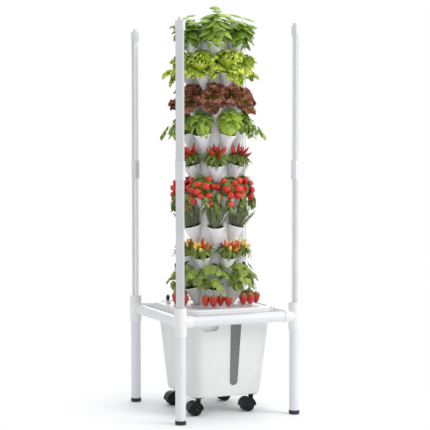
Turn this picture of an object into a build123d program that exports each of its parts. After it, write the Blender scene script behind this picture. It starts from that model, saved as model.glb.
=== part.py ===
from build123d import *
import math
import os

os.makedirs("parts", exist_ok=True)

# A planted hydroponic tower on a wheeled tank, standing inside a pipe frame with four light posts.
# Millimetres, +Z up. The origin is on the floor under the tower's axis. The tank's window faces -Y.

# Clearances
PUSH_FIT = 0.2
RUNNING_FIT = 0.06
BODY_GAP = 0.3

# Pipe frame
LEG_SPACING = 510.0
PIPE_DIAMETER = 42.0
PIPE_WALL = 3.0
RAIL_HEIGHT = 408.5
FITTING_DIAMETER = 49.0
FITTING_HALF_HEIGHT = 57.5
FITTING_REACH = 49.0
FITTING_EDGE = 1.5
SOCKET_STOP = 26.0
FOOT_DIAMETER = 44.0
FOOT_HEIGHT = 16.5
FOOT_PLUG = 20.0
FOOT_CHAMFER = 1.5

# Light posts, two bars end to end on each corner
BAR_WIDTH = 33.0
BAR_DEPTH = 20.0
BAR_LENGTH = 589.0
BARS_PER_POST = 2
BAR_SEAM = 0.4
LIGHT_SOCKET_DEPTH = 44.0
HOUSING_DEPTH = 12.0
HOUSING_WALL = 1.6
HOUSING_ROUND = 2.5
DIFFUSER_WALL = 1.4
DIFFUSER_LAP = 4.0
DIFFUSER_ROUND = 6.0
BOARD_WIDTH = 12.0
BOARD_THICKNESS = 1.6
CAP_LENGTH = 38.0
CAP_PROUD = 1.5
CAP_FLOOR = 2.5
CAP_ROUND = 3.0
NUB_DIAMETER = 18.0
NUB_HEIGHT = 14.0
NUB_EDGE = 2.0

# Casters under the tank
CASTER_PLACE = 120.0
CASTER_PLATE = 40.0
CASTER_PLATE_THICKNESS = 4.0
CASTER_PLATE_ROUND = 5.0
CASTER_BOSS_DIAMETER = 26.0
CASTER_BOSS_HEIGHT = 5.0
KINGPIN_DIAMETER = 10.0
KINGPIN_LENGTH = 12.0
NECK_DIAMETER = 20.0
CASTER_TRAIL = 18.0
WHEEL_DIAMETER = 54.0
WHEEL_WIDTH = 16.0
WHEEL_EDGE = 3.0
WHEEL_DISH = 3.0
WHEEL_DISH_DIAMETER = 44.0
WHEEL_HUB_DIAMETER = 16.0
WHEEL_RIBS = 10
WHEEL_RIB_WIDTH = 2.4
AXLE_DIAMETER = 8.0
WEB_THICKNESS = 8.0
WHEEL_GAP = 0.6
WHEEL_TOP_GAP = 1.8
HOOD_WALL = 3.2
HOOD_LIP = 2.5
HOOD_BELOW_AXLE = 4.0
WEB_BOSS_DIAMETER = 20.0

# Tank
TANK_BOTTOM = 76.0
TANK_HEIGHT = 362.0
TANK_BOTTOM_WIDTH = 320.0
TANK_TOP_WIDTH = 392.0
TANK_BOTTOM_ROUND = 55.0
TANK_TOP_ROUND = 66.0
TANK_WALL = 4.0
TANK_FLOOR = 4.0
TANK_EDGE = 8.0
RIM_WIDTH = 6.0
RIM_THICKNESS = 5.0
WINDOW_OFFSET = 18.5
WINDOW_BASE = 121.0
WINDOW_HEIGHT = 259.0
WINDOW_TOP_WIDTH = 49.0
WINDOW_FOOT_WIDTH = 36.0
WINDOW_CORNER = 6.0
WINDOW_SUNK = 0.6
WINDOW_BORDER = 4.0
WINDOW_BORDER_PROUD = 1.2
HOLD_OFFSET = -96.0
HOLD_HEIGHT = 375.0
HOLD_WIDTH = 76.0
HOLD_TALL = 40.0
HOLD_ROUND = 16.0
HOLD_DEPTH = 18.0

# Lid, which drops over the tank's rim with a clearance all round
LID_CLEARANCE = 2.0
LID_SKIRT_WALL = 4.0
LID_WIDTH = TANK_TOP_WIDTH + 2 * (RIM_WIDTH + LID_CLEARANCE + LID_SKIRT_WALL)
LID_ROUND = 75.0
LID_DECK = 7.0
LID_SKIRT = 20.0
LID_TOP_EDGE = 5.0
LID_BOTTOM_EDGE = 1.5
TRAY_INSET = 26.0
TRAY_DEPTH = 3.5
RETURN_DIAMETER = 124.0

# Float gauge, which hangs through the lid clear of its tray, the tank's left wall and a lowest pot
FLOAT_TRAY_GAP = 3.0
FLOAT_WALL_GAP = 3.5
FLOAT_POT = 4
FLOAT_POT_GAP = 54.003
FLOAT_TRAVEL = 75.0
FLOAT_DIAMETER = 22.0
FLOAT_LENGTH = 36.0
FLOAT_ROD_DIAMETER = 6.0
FLOAT_ROD_LENGTH = 104.0
FLOAT_KNOB_DIAMETER = 17.0
FLOAT_KNOB_HEIGHT = 26.0
GUIDE_FLANGE_DIAMETER = 28.0
GUIDE_FLANGE_THICKNESS = 3.0
GUIDE_BOSS_DIAMETER = 20.0
GUIDE_BOSS_HEIGHT = 8.0
GUIDE_NECK_DIAMETER = 16.0
GUIDE_NECK_LENGTH = 10.0

# Pump and riser
PUMP_BACK = 62.0
PUMP_FRONT = 14.0
PUMP_WIDTH = 60.0
PUMP_HEIGHT = 60.0
PUMP_ROUND = 6.0
CHAMBER_DIAMETER = 42.0
CHAMBER_DEPTH = 26.0
STRAINER_DIAMETER = 54.0
STRAINER_DEPTH = 12.0
STRAINER_WALL = 2.5
STRAINER_SLOTS = 8
STRAINER_SLOT_WIDTH = 4.0
STRAINER_SLOT_LENGTH = 14.0
STRAINER_SLOT_PLACE = 14.0
IMPELLER_DIAMETER = 34.0
IMPELLER_DISC = 3.0
IMPELLER_GAP = 1.5
IMPELLER_BLADES = 6
BLADE_THICKNESS = 2.0
BLADE_HEIGHT = 11.0
IMPELLER_HUB_DIAMETER = 12.0
SHAFT_DIAMETER = 6.0
SHAFT_LENGTH = 30.0
OUTLET_BORE = 16.0
OUTLET_HEIGHT = 18.0
RISER_DIAMETER = 25.0
RISER_WALL = 2.0

# Planter column
TIER_COUNT = 9
TIER_PITCH = 127.5
POTS_PER_TIER = 6
FRONT_POT_ANGLE = -108.5
COLUMN_RADIUS = 78.0
COLUMN_WALL = 3.5
TIER_FIT = 0.3
SPIGOT_HEIGHT = 14.0
SPIGOT_WALL = 2.7
SHOULDER_HEIGHT = 6.0
POT_REACH = 106.0
POT_RIM_HEIGHT = 80.0
POT_RIM_RADIUS = 36.0
POT_TIP_RADIUS = 14.0
POT_DEPTH = 68.0
POT_TILT = 17.0
POT_WALL = 2.5
POT_LIP = 1.2
POT_LIP_HEIGHT = 5.0
SOIL_DROP = 4.0
PLUG_DEPTH = 58.0
FOOT_FLANGE_DIAMETER = 196.0
CAP_COVER_HEIGHT = 22.0
CAP_COVER_EDGE = 7.0
CAP_COVER_WALL = 3.0
DRIP_PLATE = 3.0
DRIP_SOCKET_DEPTH = 16.0
DRIP_SOCKET_WALL = 3.0
DRIP_HOLES = 12
DRIP_HOLE_DIAMETER = 7.0
DRIP_HOLE_PLACE = 48.0

# Plants, each a plain crown of its own size above the soil
BASIL = {"stem": 7.0, "stem_height": 18.0, "spread": 41.0, "waist": 72.0, "top": 150.0}
GREEN_LETTUCE = {"stem": 11.0, "stem_height": 6.0, "spread": 38.0, "waist": 54.0, "top": 88.0}
RED_LETTUCE = {"stem": 11.0, "stem_height": 6.0, "spread": 36.0, "waist": 48.0, "top": 78.0}
HERBS = {"stem": 8.0, "stem_height": 10.0, "spread": 41.0, "waist": 52.0, "top": 92.0}
RED_CHILLI = {"stem": 6.0, "stem_height": 14.0, "spread": 34.0, "waist": 38.0, "top": 58.0}
TOMATO = {"stem": 6.0, "stem_height": 12.0, "spread": 38.0, "waist": 46.0, "top": 84.0}
MIXED_CHILLI = {"stem": 6.0, "stem_height": 12.0, "spread": 34.0, "waist": 34.0, "top": 52.0}
STRAWBERRY = {"stem": 8.0, "stem_height": 12.0, "spread": 40.0, "waist": 48.0, "top": 78.0}
CROWN_FLAT = 6.0
HEART_DEPTH = 18.0
CHILLI_LENGTH = 34.0
CHILLI_RADIUS = 6.0
CHILLI_TIP = 1.5
CHILLIES_PER_PLANT = 7
CHILLI_RING = 19.0
CHILLI_ROOT = 38.0
CHILLI_LEAN = 16.0
TOMATO_RADIUS = 14.0
TOMATO_RING = 36.0
TOMATO_LEVELS = (28.0, 54.0)
TOMATO_ANGLES = (-70.0, -24.0, 24.0, 70.0)
SPRIG_COUNT = 8
SPRIG_LENGTH = 84.0
SPRIG_RADIUS = 7.5
SPRIG_TIP = 2.5
SPRIG_LEAN = 15.0
SPRIG_RING = 13.0
SPRIG_CROWN_HEIGHT = 8.0
BERRY_RADIUS = 14.0
BERRY_LENGTH = 34.0
BERRY_TIP = 4.0
BERRY_HANG = 42.0
BERRY_OUT = 66.0
BERRY_SIDES = (-27.0, 0.0, 27.0)
STALK_DIAMETER = 4.0
STALK_BEND = 14.0
STALK_RISE = 16.0

# Heights and places that follow from the sizes above
fitting_top = RAIL_HEIGHT + FITTING_HALF_HEIGHT
fitting_bottom = RAIL_HEIGHT - FITTING_HALF_HEIGHT
leg_top = RAIL_HEIGHT - SOCKET_STOP
light_bottom = fitting_top - LIGHT_SOCKET_DEPTH
axle_height = WHEEL_DIAMETER / 2
plate_bottom = TANK_BOTTOM - CASTER_PLATE_THICKNESS
boss_bottom = plate_bottom - CASTER_BOSS_HEIGHT
tank_top = TANK_BOTTOM + TANK_HEIGHT
tank_floor = TANK_BOTTOM + TANK_FLOOR
lid_top = tank_top + LID_DECK
lid_bottom = lid_top - LID_SKIRT
tray_floor = lid_top - TRAY_DEPTH
tower_base = lid_top
column_bore = COLUMN_RADIUS - COLUMN_WALL
spigot_radius = column_bore - TIER_FIT
tower_top = tower_base + TIER_COUNT * TIER_PITCH
spigot_top = tower_top + SPIGOT_HEIGHT
pump_top = tank_floor + PUMP_HEIGHT
pump_axis = tank_floor + PUMP_HEIGHT / 2
half_spacing = LEG_SPACING / 2

# Each corner's side of X, side of Y and quarter turn from the front left corner
CORNERS = {
    "front_left": (-1, -1, 0),
    "front_right": (1, -1, 90),
    "back_right": (1, 1, 180),
    "back_left": (-1, 1, 270),
}
# Each rail's turn about the tower's axis from the front rail
RAILS = {"front": 0, "right": 90, "back": 180, "left": 270}


def corner_location(corner):
    """The post axis at one corner, turned so that the rails leave along +X and +Y."""
    side_x, side_y, turn = CORNERS[corner]
    return Location((side_x * half_spacing, side_y * half_spacing, 0), (0, 0, turn))


def light_location(corner):
    """The same post axis, turned so that +X points at the tower."""
    return corner_location(corner) * Location((0, 0, 0), (0, 0, 45))


def caster_location(corner):
    side_x, side_y, _ = CORNERS[corner]
    return Location((side_x * CASTER_PLACE, side_y * CASTER_PLACE, 0))


def tier_location(number):
    """Tier 1 is the top one. Odd tiers have a pot at the front angle, even ones are half a step on."""
    half_step = 180 / POTS_PER_TIER
    turn = FRONT_POT_ANGLE + (0 if number % 2 else half_step)
    return Location((0, 0, tower_base + (TIER_COUNT - number) * TIER_PITCH), (0, 0, turn))


def export_piece(piece, name):
    piece.part.label = name
    export_step(piece.part, f"parts/{name}.step")


def export_copies(piece, name, places):
    """Writes copies of a piece as separate solids in one file."""
    with BuildPart() as copies:
        with Locations(*places):
            add(piece.part)
    export_piece(copies, name)


def tank_share(height):
    return (height - TANK_BOTTOM) / TANK_HEIGHT


def tank_width_at(height):
    return TANK_BOTTOM_WIDTH + (TANK_TOP_WIDTH - TANK_BOTTOM_WIDTH) * tank_share(height)


def tank_round_at(height):
    return TANK_BOTTOM_ROUND + (TANK_TOP_ROUND - TANK_BOTTOM_ROUND) * tank_share(height)


def tank_form(low, high, grow):
    """The tank's tapered block between two heights, with its walls moved out by grow."""
    with BuildPart() as form:
        for height in (low, high):
            width = tank_width_at(height) + 2 * grow
            with BuildSketch(Plane.XY.offset(height)):
                RectangleRounded(width, width, tank_round_at(height) + grow)
        loft(ruled=True)
    return form.part


# Frame: legs, feet, corner fittings and rails

with BuildPart() as leg:
    with BuildSketch(Plane.XY.offset(FOOT_HEIGHT)):
        Circle(PIPE_DIAMETER / 2)
        Circle(PIPE_DIAMETER / 2 - PIPE_WALL, mode=Mode.SUBTRACT)
    extrude(amount=leg_top - FOOT_HEIGHT)

with BuildPart() as foot:
    with BuildSketch():
        Circle(FOOT_DIAMETER / 2)
    extrude(amount=FOOT_HEIGHT)
    chamfer(foot.edges().group_by(Axis.Z)[0], FOOT_CHAMFER)
    with BuildSketch(Plane.XY.offset(FOOT_HEIGHT)):
        Circle(PIPE_DIAMETER / 2 - PIPE_WALL - PUSH_FIT)
    extrude(amount=FOOT_PLUG)

with BuildPart() as fitting:
    with BuildSketch(Plane.XY.offset(fitting_bottom)):
        Circle(FITTING_DIAMETER / 2)
    extrude(amount=2 * FITTING_HALF_HEIGHT)
    for way in ((1, 0, 0), (0, 1, 0)):
        with BuildSketch(Plane(origin=(0, 0, RAIL_HEIGHT), z_dir=way)):
            Circle(FITTING_DIAMETER / 2)
        extrude(amount=FITTING_REACH)
    mouths = [
        fitting.faces().sort_by(Axis.Z)[0],
        fitting.faces().sort_by(Axis.Z)[-1],
        fitting.faces().sort_by(Axis.X)[-1],
        fitting.faces().sort_by(Axis.Y)[-1],
    ]
    fillet([edge for mouth in mouths for edge in mouth.edges()], FITTING_EDGE)
    with BuildSketch(Plane.XY.offset(fitting_bottom)):
        Circle(PIPE_DIAMETER / 2 + PUSH_FIT)
    extrude(amount=leg_top - fitting_bottom, mode=Mode.SUBTRACT)
    for way in (Vector(1, 0, 0), Vector(0, 1, 0)):
        with BuildSketch(Plane(origin=Vector(0, 0, RAIL_HEIGHT) + way * SOCKET_STOP, z_dir=way)):
            Circle(PIPE_DIAMETER / 2 + PUSH_FIT)
        extrude(amount=FITTING_REACH - SOCKET_STOP, mode=Mode.SUBTRACT)
    with BuildSketch(Plane(origin=(0, 0, light_bottom), x_dir=(1, 1, 0), z_dir=(0, 0, 1))):
        RectangleRounded(
            BAR_DEPTH + 2 * (CAP_PROUD + PUSH_FIT),
            BAR_WIDTH + 2 * (CAP_PROUD + PUSH_FIT),
            CAP_ROUND + PUSH_FIT,
        )
    extrude(amount=LIGHT_SOCKET_DEPTH, mode=Mode.SUBTRACT)

rail_start = (-half_spacing + SOCKET_STOP, -half_spacing, RAIL_HEIGHT)

with BuildPart() as rail:
    with BuildSketch(Plane(origin=rail_start, z_dir=(1, 0, 0))):
        Circle(PIPE_DIAMETER / 2)
        Circle(PIPE_DIAMETER / 2 - PIPE_WALL, mode=Mode.SUBTRACT)
    extrude(amount=LEG_SPACING - 2 * SOCKET_STOP)

for corner in CORNERS:
    export_copies(leg, f"leg_{corner}", [corner_location(corner)])
    export_copies(fitting, f"corner_fitting_{corner}", [corner_location(corner)])
for side, turn in RAILS.items():
    export_copies(rail, f"rail_{side}", [Location((0, 0, 0), (0, 0, turn))])
export_copies(foot, "rubber_feet", [corner_location(corner) for corner in CORNERS])

# Light posts: housing channels, diffusers, boards and end caps

bar_starts = [light_bottom + number * (BAR_LENGTH + BAR_SEAM) for number in range(BARS_PER_POST)]
bar_run = BAR_LENGTH - 2 * CAP_FLOOR
housing_mouth = HOUSING_DEPTH - BAR_DEPTH / 2
diffuser_back = housing_mouth - DIFFUSER_LAP
diffuser_width = BAR_WIDTH - 2 * (HOUSING_WALL + PUSH_FIT)
board_back = HOUSING_WALL - BAR_DEPTH / 2


def rounded_front(back, front, width, corner_radius):
    """A rectangle across the bar whose two corners towards the tower are round."""
    with BuildSketch() as outline:
        with Locations((back, 0)):
            Rectangle(front - back, width, align=(Align.MIN, Align.CENTER))
        fillet(outline.vertices().group_by(Axis.X)[-1], corner_radius)
    return outline.sketch


with BuildPart() as housing:
    for start in bar_starts:
        with BuildSketch(Plane.XY.offset(start + CAP_FLOOR)):
            with Locations((-BAR_DEPTH / 2, 0)):
                Rectangle(HOUSING_DEPTH, BAR_WIDTH, align=(Align.MIN, Align.CENTER))
            with Locations((board_back, 0)):
                Rectangle(
                    HOUSING_DEPTH,
                    BAR_WIDTH - 2 * HOUSING_WALL,
                    align=(Align.MIN, Align.CENTER),
                    mode=Mode.SUBTRACT,
                )
        extrude(amount=bar_run)
    fillet(housing.edges().filter_by(Axis.Z).group_by(Axis.X)[0], HOUSING_ROUND)

diffuser_outside = rounded_front(diffuser_back, BAR_DEPTH / 2, diffuser_width, DIFFUSER_ROUND)
diffuser_inside = rounded_front(
    diffuser_back,
    BAR_DEPTH / 2 - DIFFUSER_WALL,
    diffuser_width - 2 * DIFFUSER_WALL,
    DIFFUSER_ROUND - DIFFUSER_WALL,
)

with BuildPart() as diffuser:
    for start in bar_starts:
        with BuildSketch(Plane.XY.offset(start + CAP_FLOOR)):
            add(diffuser_outside)
            add(diffuser_inside, mode=Mode.SUBTRACT)
        extrude(amount=bar_run)

with BuildPart() as board:
    for start in bar_starts:
        with BuildSketch(Plane.XY.offset(start + CAP_FLOOR)):
            with Locations((board_back, 0)):
                Rectangle(BOARD_THICKNESS, BOARD_WIDTH, align=(Align.MIN, Align.CENTER))
        extrude(amount=bar_run)

with BuildPart() as end_cap:
    with BuildSketch():
        RectangleRounded(BAR_DEPTH + 2 * CAP_PROUD, BAR_WIDTH + 2 * CAP_PROUD, CAP_ROUND)
    extrude(amount=CAP_LENGTH)
    with BuildSketch(Plane.XY.offset(CAP_FLOOR)):
        Rectangle(BAR_DEPTH + 2 * PUSH_FIT, BAR_WIDTH + 2 * PUSH_FIT)
    extrude(amount=CAP_LENGTH - CAP_FLOOR, mode=Mode.SUBTRACT)

with BuildPart() as nub_cap:
    add(end_cap.part)
    with BuildSketch():
        Circle(NUB_DIAMETER / 2)
    extrude(amount=-NUB_HEIGHT)
    fillet(nub_cap.edges().group_by(Axis.Z)[0], NUB_EDGE)

with BuildPart() as post_caps:
    for number, start in enumerate(bar_starts, 1):
        with Locations(Location((0, 0, start))):
            add(end_cap.part)
        with Locations(Location((0, 0, start + BAR_LENGTH), (180, 0, 0))):
            add(nub_cap.part if number == BARS_PER_POST else end_cap.part)

light_places = [light_location(corner) for corner in CORNERS]
for corner in CORNERS:
    export_copies(housing, f"light_housing_{corner}", [light_location(corner)])
export_copies(diffuser, "light_diffusers", light_places)
export_copies(board, "led_boards", light_places)
export_copies(post_caps, "light_end_caps", light_places)

# Casters: plates on the tank's floor, swivelling hoods and twin wheels, with the swivel axis on Z

hood_radius = WHEEL_DIAMETER / 2 + WHEEL_TOP_GAP + HOOD_WALL
bay_radius = WHEEL_DIAMETER / 2 + WHEEL_TOP_GAP
hood_half_width = WEB_THICKNESS / 2 + WHEEL_GAP + WHEEL_WIDTH + HOOD_LIP
wheel_inner_face = WEB_THICKNESS / 2 + WHEEL_GAP
wheel_outer_face = wheel_inner_face + WHEEL_WIDTH
neck_top = boss_bottom - BODY_GAP
kingpin_bottom = boss_bottom - KINGPIN_LENGTH


def across_axle(distance, side=1):
    """A plane square to the axle at a distance along it, facing away from the web."""
    return Plane(
        origin=(-CASTER_TRAIL, side * distance, axle_height),
        x_dir=(1, 0, 0),
        z_dir=(0, side, 0),
    )


with BuildPart() as caster_plate:
    with BuildSketch(Plane.XY.offset(plate_bottom)):
        RectangleRounded(CASTER_PLATE, CASTER_PLATE, CASTER_PLATE_ROUND)
    extrude(amount=CASTER_PLATE_THICKNESS)
    with BuildSketch(Plane.XY.offset(boss_bottom)):
        Circle(CASTER_BOSS_DIAMETER / 2)
    extrude(amount=CASTER_BOSS_HEIGHT)
    with BuildSketch(Plane.XY.offset(kingpin_bottom)):
        Circle(KINGPIN_DIAMETER / 2)
    extrude(amount=KINGPIN_LENGTH)

with BuildPart() as hood:
    with BuildSketch(across_axle(0)):
        Circle(hood_radius)
    extrude(amount=hood_half_width, both=True)
    with BuildSketch(Plane.XY.offset(axle_height)):
        Circle(NECK_DIAMETER / 2)
    extrude(amount=neck_top - axle_height)
    with BuildSketch(Plane.XY.offset(axle_height - HOOD_BELOW_AXLE)):
        with Locations((-CASTER_TRAIL, 0)):
            Rectangle(2 * hood_radius, 2 * hood_half_width)
    extrude(amount=-hood_radius, mode=Mode.SUBTRACT)
    for side in (1, -1):
        with BuildSketch(across_axle(WEB_THICKNESS / 2, side)):
            Circle(bay_radius)
        extrude(amount=hood_half_width - WEB_THICKNESS / 2, mode=Mode.SUBTRACT)
    with BuildSketch(across_axle(0)):
        Circle(WEB_BOSS_DIAMETER / 2)
    extrude(amount=WEB_THICKNESS / 2, both=True)
    with BuildSketch(across_axle(0)):
        Circle(AXLE_DIAMETER / 2 + RUNNING_FIT)
    extrude(amount=WEB_THICKNESS / 2, both=True, mode=Mode.SUBTRACT)
    with BuildSketch(Plane.XY.offset(kingpin_bottom - BODY_GAP)):
        Circle(KINGPIN_DIAMETER / 2 + RUNNING_FIT)
    extrude(amount=neck_top - kingpin_bottom + BODY_GAP, mode=Mode.SUBTRACT)

with BuildPart() as wheel:
    with BuildSketch(across_axle(wheel_inner_face)):
        Circle(WHEEL_DIAMETER / 2)
    extrude(amount=WHEEL_WIDTH)
    fillet(wheel.edges().filter_by(GeomType.CIRCLE), WHEEL_EDGE)
    with BuildSketch(across_axle(wheel_outer_face)):
        Circle(WHEEL_DISH_DIAMETER / 2)
        Circle(WHEEL_HUB_DIAMETER / 2, mode=Mode.SUBTRACT)
        with PolarLocations((WHEEL_DISH_DIAMETER + WHEEL_HUB_DIAMETER) / 4, WHEEL_RIBS):
            Rectangle(WHEEL_DISH_DIAMETER / 2, WHEEL_RIB_WIDTH, mode=Mode.SUBTRACT)
    extrude(amount=-WHEEL_DISH, mode=Mode.SUBTRACT)
    with BuildSketch(across_axle(wheel_inner_face)):
        Circle(AXLE_DIAMETER / 2 + RUNNING_FIT)
    extrude(amount=WHEEL_WIDTH, mode=Mode.SUBTRACT)

with BuildPart() as wheel_pair:
    add(wheel.part)
    mirror(wheel.part, about=Plane.XZ)
    with BuildSketch(across_axle(0)):
        Circle(AXLE_DIAMETER / 2)
    extrude(amount=wheel_outer_face, both=True)

for corner in CORNERS:
    export_copies(hood, f"caster_hood_{corner}", [caster_location(corner)])
    export_copies(wheel_pair, f"caster_wheels_{corner}", [caster_location(corner)])
export_copies(caster_plate, "caster_plates", [caster_location(corner) for corner in CORNERS])

# Tank with its level window, hand-hold and rolled rim


def window_outline(grow):
    """The level window's outline on the front wall: a round foot, slanting sides and a square head."""
    foot_radius = WINDOW_FOOT_WIDTH / 2 + grow
    head_half = WINDOW_TOP_WIDTH / 2 + grow
    foot_centre = WINDOW_BASE + WINDOW_FOOT_WIDTH / 2
    head = WINDOW_BASE + WINDOW_HEIGHT + grow
    with BuildSketch(Plane.XZ) as outline:
        with BuildLine():
            Polyline(
                (WINDOW_OFFSET - foot_radius, foot_centre),
                (WINDOW_OFFSET - head_half, head),
                (WINDOW_OFFSET + head_half, head),
                (WINDOW_OFFSET + foot_radius, foot_centre),
            )
            ThreePointArc(
                (WINDOW_OFFSET + foot_radius, foot_centre),
                (WINDOW_OFFSET, foot_centre - foot_radius),
                (WINDOW_OFFSET - foot_radius, foot_centre),
            )
        make_face()
        fillet(outline.vertices().group_by(Axis.Y)[-1], WINDOW_CORNER + grow)
    return outline.sketch


def hold_outline(distance, grow):
    """The hand-hold's outline on a plane at a distance in front of the tower's axis."""
    with BuildSketch(Plane.XZ.offset(distance)) as outline:
        with Locations((HOLD_OFFSET, HOLD_HEIGHT)):
            RectangleRounded(HOLD_WIDTH + 2 * grow, HOLD_TALL + 2 * grow, HOLD_ROUND + grow)
    return outline.sketch


hold_back = tank_width_at(HOLD_HEIGHT) / 2 - HOLD_DEPTH
hold_boss_back = hold_back - TANK_WALL
front_reach = TANK_TOP_WIDTH / 2 + RIM_WIDTH

outer_form = tank_form(TANK_BOTTOM, tank_top, 0)
hollow_form = tank_form(tank_floor, tank_top, -TANK_WALL)
border_form = tank_form(TANK_BOTTOM, tank_top, WINDOW_BORDER_PROUD)
pane_form = tank_form(TANK_BOTTOM, tank_top, -WINDOW_SUNK)
window_opening = window_outline(0)
window_edge = window_outline(WINDOW_BORDER)
window_pane = window_outline(-PUSH_FIT)
hold_mouth = hold_outline(hold_back, 0)
hold_boss = hold_outline(hold_boss_back, TANK_WALL)

with BuildPart() as window_border:
    add(border_form)
    extrude(window_edge, amount=front_reach, mode=Mode.INTERSECT)

with BuildPart() as tank_hollow:
    add(hollow_form)
    extrude(hold_boss, amount=front_reach - hold_boss_back, mode=Mode.SUBTRACT)

with BuildPart() as tank:
    add(outer_form)
    fillet(tank.edges().group_by(Axis.Z)[0], TANK_EDGE)
    with BuildSketch(Plane.XY.offset(tank_top - RIM_THICKNESS)):
        rim_width = TANK_TOP_WIDTH + 2 * RIM_WIDTH
        RectangleRounded(rim_width, rim_width, TANK_TOP_ROUND + RIM_WIDTH)
    extrude(amount=RIM_THICKNESS)
    add(window_border.part)
    add(tank_hollow.part, mode=Mode.SUBTRACT)
    extrude(hold_mouth, amount=front_reach - hold_back, mode=Mode.SUBTRACT)
    extrude(window_opening, amount=front_reach, mode=Mode.SUBTRACT)
export_piece(tank, "tank")

with BuildPart() as level_window:
    add(pane_form)
    add(hollow_form, mode=Mode.SUBTRACT)
    extrude(window_pane, amount=front_reach, mode=Mode.INTERSECT)
export_piece(level_window, "level_window")

# Lid, tower foot and float gauge

guide_top = tray_floor + GUIDE_FLANGE_THICKNESS + GUIDE_BOSS_HEIGHT
guide_bottom = tray_floor - GUIDE_NECK_LENGTH
knob_bottom = guide_top + BODY_GAP
float_top = guide_top - FLOAT_ROD_LENGTH
float_bottom = float_top - FLOAT_LENGTH
print("float clear of the guide when raised by", round(guide_bottom - float_top - FLOAT_TRAVEL, 2))
tray_width = LID_WIDTH - 2 * TRAY_INSET
tray_reach = tray_width / 2 - GUIDE_FLANGE_DIAMETER / 2 - FLOAT_TRAY_GAP
wall_reach = tank_width_at(float_bottom) / 2 - TANK_WALL - FLOAT_DIAMETER / 2 - FLOAT_WALL_GAP
float_x = -min(tray_reach, wall_reach)
float_pot_angle = math.radians(FRONT_POT_ANGLE + FLOAT_POT * 360 / POTS_PER_TIER)
float_y = (float_x * math.sin(float_pot_angle) + FLOAT_POT_GAP) / math.cos(float_pot_angle)

with BuildPart() as tank_lid:
    with BuildSketch(Plane.XY.offset(lid_bottom)):
        RectangleRounded(LID_WIDTH, LID_WIDTH, LID_ROUND)
    extrude(amount=LID_SKIRT)
    fillet(tank_lid.edges().group_by(Axis.Z)[-1], LID_TOP_EDGE)
    fillet(tank_lid.edges().group_by(Axis.Z)[0], LID_BOTTOM_EDGE)
    with BuildSketch(Plane.XY.offset(lid_bottom)):
        inside_width = LID_WIDTH - 2 * LID_SKIRT_WALL
        RectangleRounded(inside_width, inside_width, LID_ROUND - LID_SKIRT_WALL)
    extrude(amount=LID_SKIRT - LID_DECK, mode=Mode.SUBTRACT)
    with BuildSketch(Plane.XY.offset(tray_floor)):
        RectangleRounded(tray_width, tray_width, LID_ROUND - TRAY_INSET)
    extrude(amount=TRAY_DEPTH, mode=Mode.SUBTRACT)
    with BuildSketch(Plane.XY.offset(tank_top)):
        Circle(RETURN_DIAMETER / 2)
        with Locations((float_x, float_y)):
            Circle(GUIDE_NECK_DIAMETER / 2 + PUSH_FIT)
    extrude(amount=LID_DECK, mode=Mode.SUBTRACT)
export_piece(tank_lid, "tank_lid")

with BuildPart() as tower_foot:
    with BuildSketch(Plane.XY.offset(tray_floor)):
        Circle(FOOT_FLANGE_DIAMETER / 2)
        Circle(RETURN_DIAMETER / 2, mode=Mode.SUBTRACT)
    extrude(amount=tower_base - tray_floor)
    with BuildSketch(Plane.XY.offset(tower_base)):
        Circle(spigot_radius)
        Circle(spigot_radius - SPIGOT_WALL, mode=Mode.SUBTRACT)
    extrude(amount=SPIGOT_HEIGHT)
export_piece(tower_foot, "tower_foot")

with BuildPart() as float_guide:
    for base, height, diameter in (
        (guide_bottom, GUIDE_NECK_LENGTH, GUIDE_NECK_DIAMETER),
        (tray_floor, GUIDE_FLANGE_THICKNESS, GUIDE_FLANGE_DIAMETER),
        (tray_floor + GUIDE_FLANGE_THICKNESS, GUIDE_BOSS_HEIGHT, GUIDE_BOSS_DIAMETER),
    ):
        with BuildSketch(Plane.XY.offset(base)):
            Circle(diameter / 2)
        extrude(amount=height)
    with BuildSketch(Plane.XY.offset(guide_bottom)):
        Circle(FLOAT_ROD_DIAMETER / 2 + RUNNING_FIT)
    extrude(amount=guide_top - guide_bottom, mode=Mode.SUBTRACT)
export_copies(float_guide, "float_guide", [Location((float_x, float_y, 0))])

with BuildPart() as float_gauge:
    with BuildSketch(Plane.XZ):
        with BuildLine():
            EllipticalCenterArc(
                (0, knob_bottom + FLOAT_KNOB_HEIGHT / 2),
                FLOAT_KNOB_DIAMETER / 2,
                FLOAT_KNOB_HEIGHT / 2,
                start_angle=-90,
                arc_size=180,
            )
            Line((0, knob_bottom + FLOAT_KNOB_HEIGHT), (0, knob_bottom))
        make_face()
    revolve(axis=Axis.Z)
    with BuildSketch(Plane.XY.offset(float_bottom)):
        Circle(FLOAT_DIAMETER / 2)
    extrude(amount=FLOAT_LENGTH)
    with BuildSketch(Plane.XY.offset(float_bottom)):
        Circle(FLOAT_ROD_DIAMETER / 2)
    extrude(amount=knob_bottom + FLOAT_KNOB_HEIGHT / 2 - float_bottom)
export_copies(float_gauge, "float_gauge", [Location((float_x, float_y, 0))])

# Pump on the tank's floor, with the riser over its outlet

chamber_back = PUMP_FRONT - CHAMBER_DEPTH
impeller_back = chamber_back + IMPELLER_GAP
riser_bore = RISER_DIAMETER / 2 - RISER_WALL


def across_pump(place):
    """A plane square to the pump's shaft, facing +X."""
    return Plane(origin=(place, 0, pump_axis), x_dir=(0, 1, 0), z_dir=(1, 0, 0))


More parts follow.
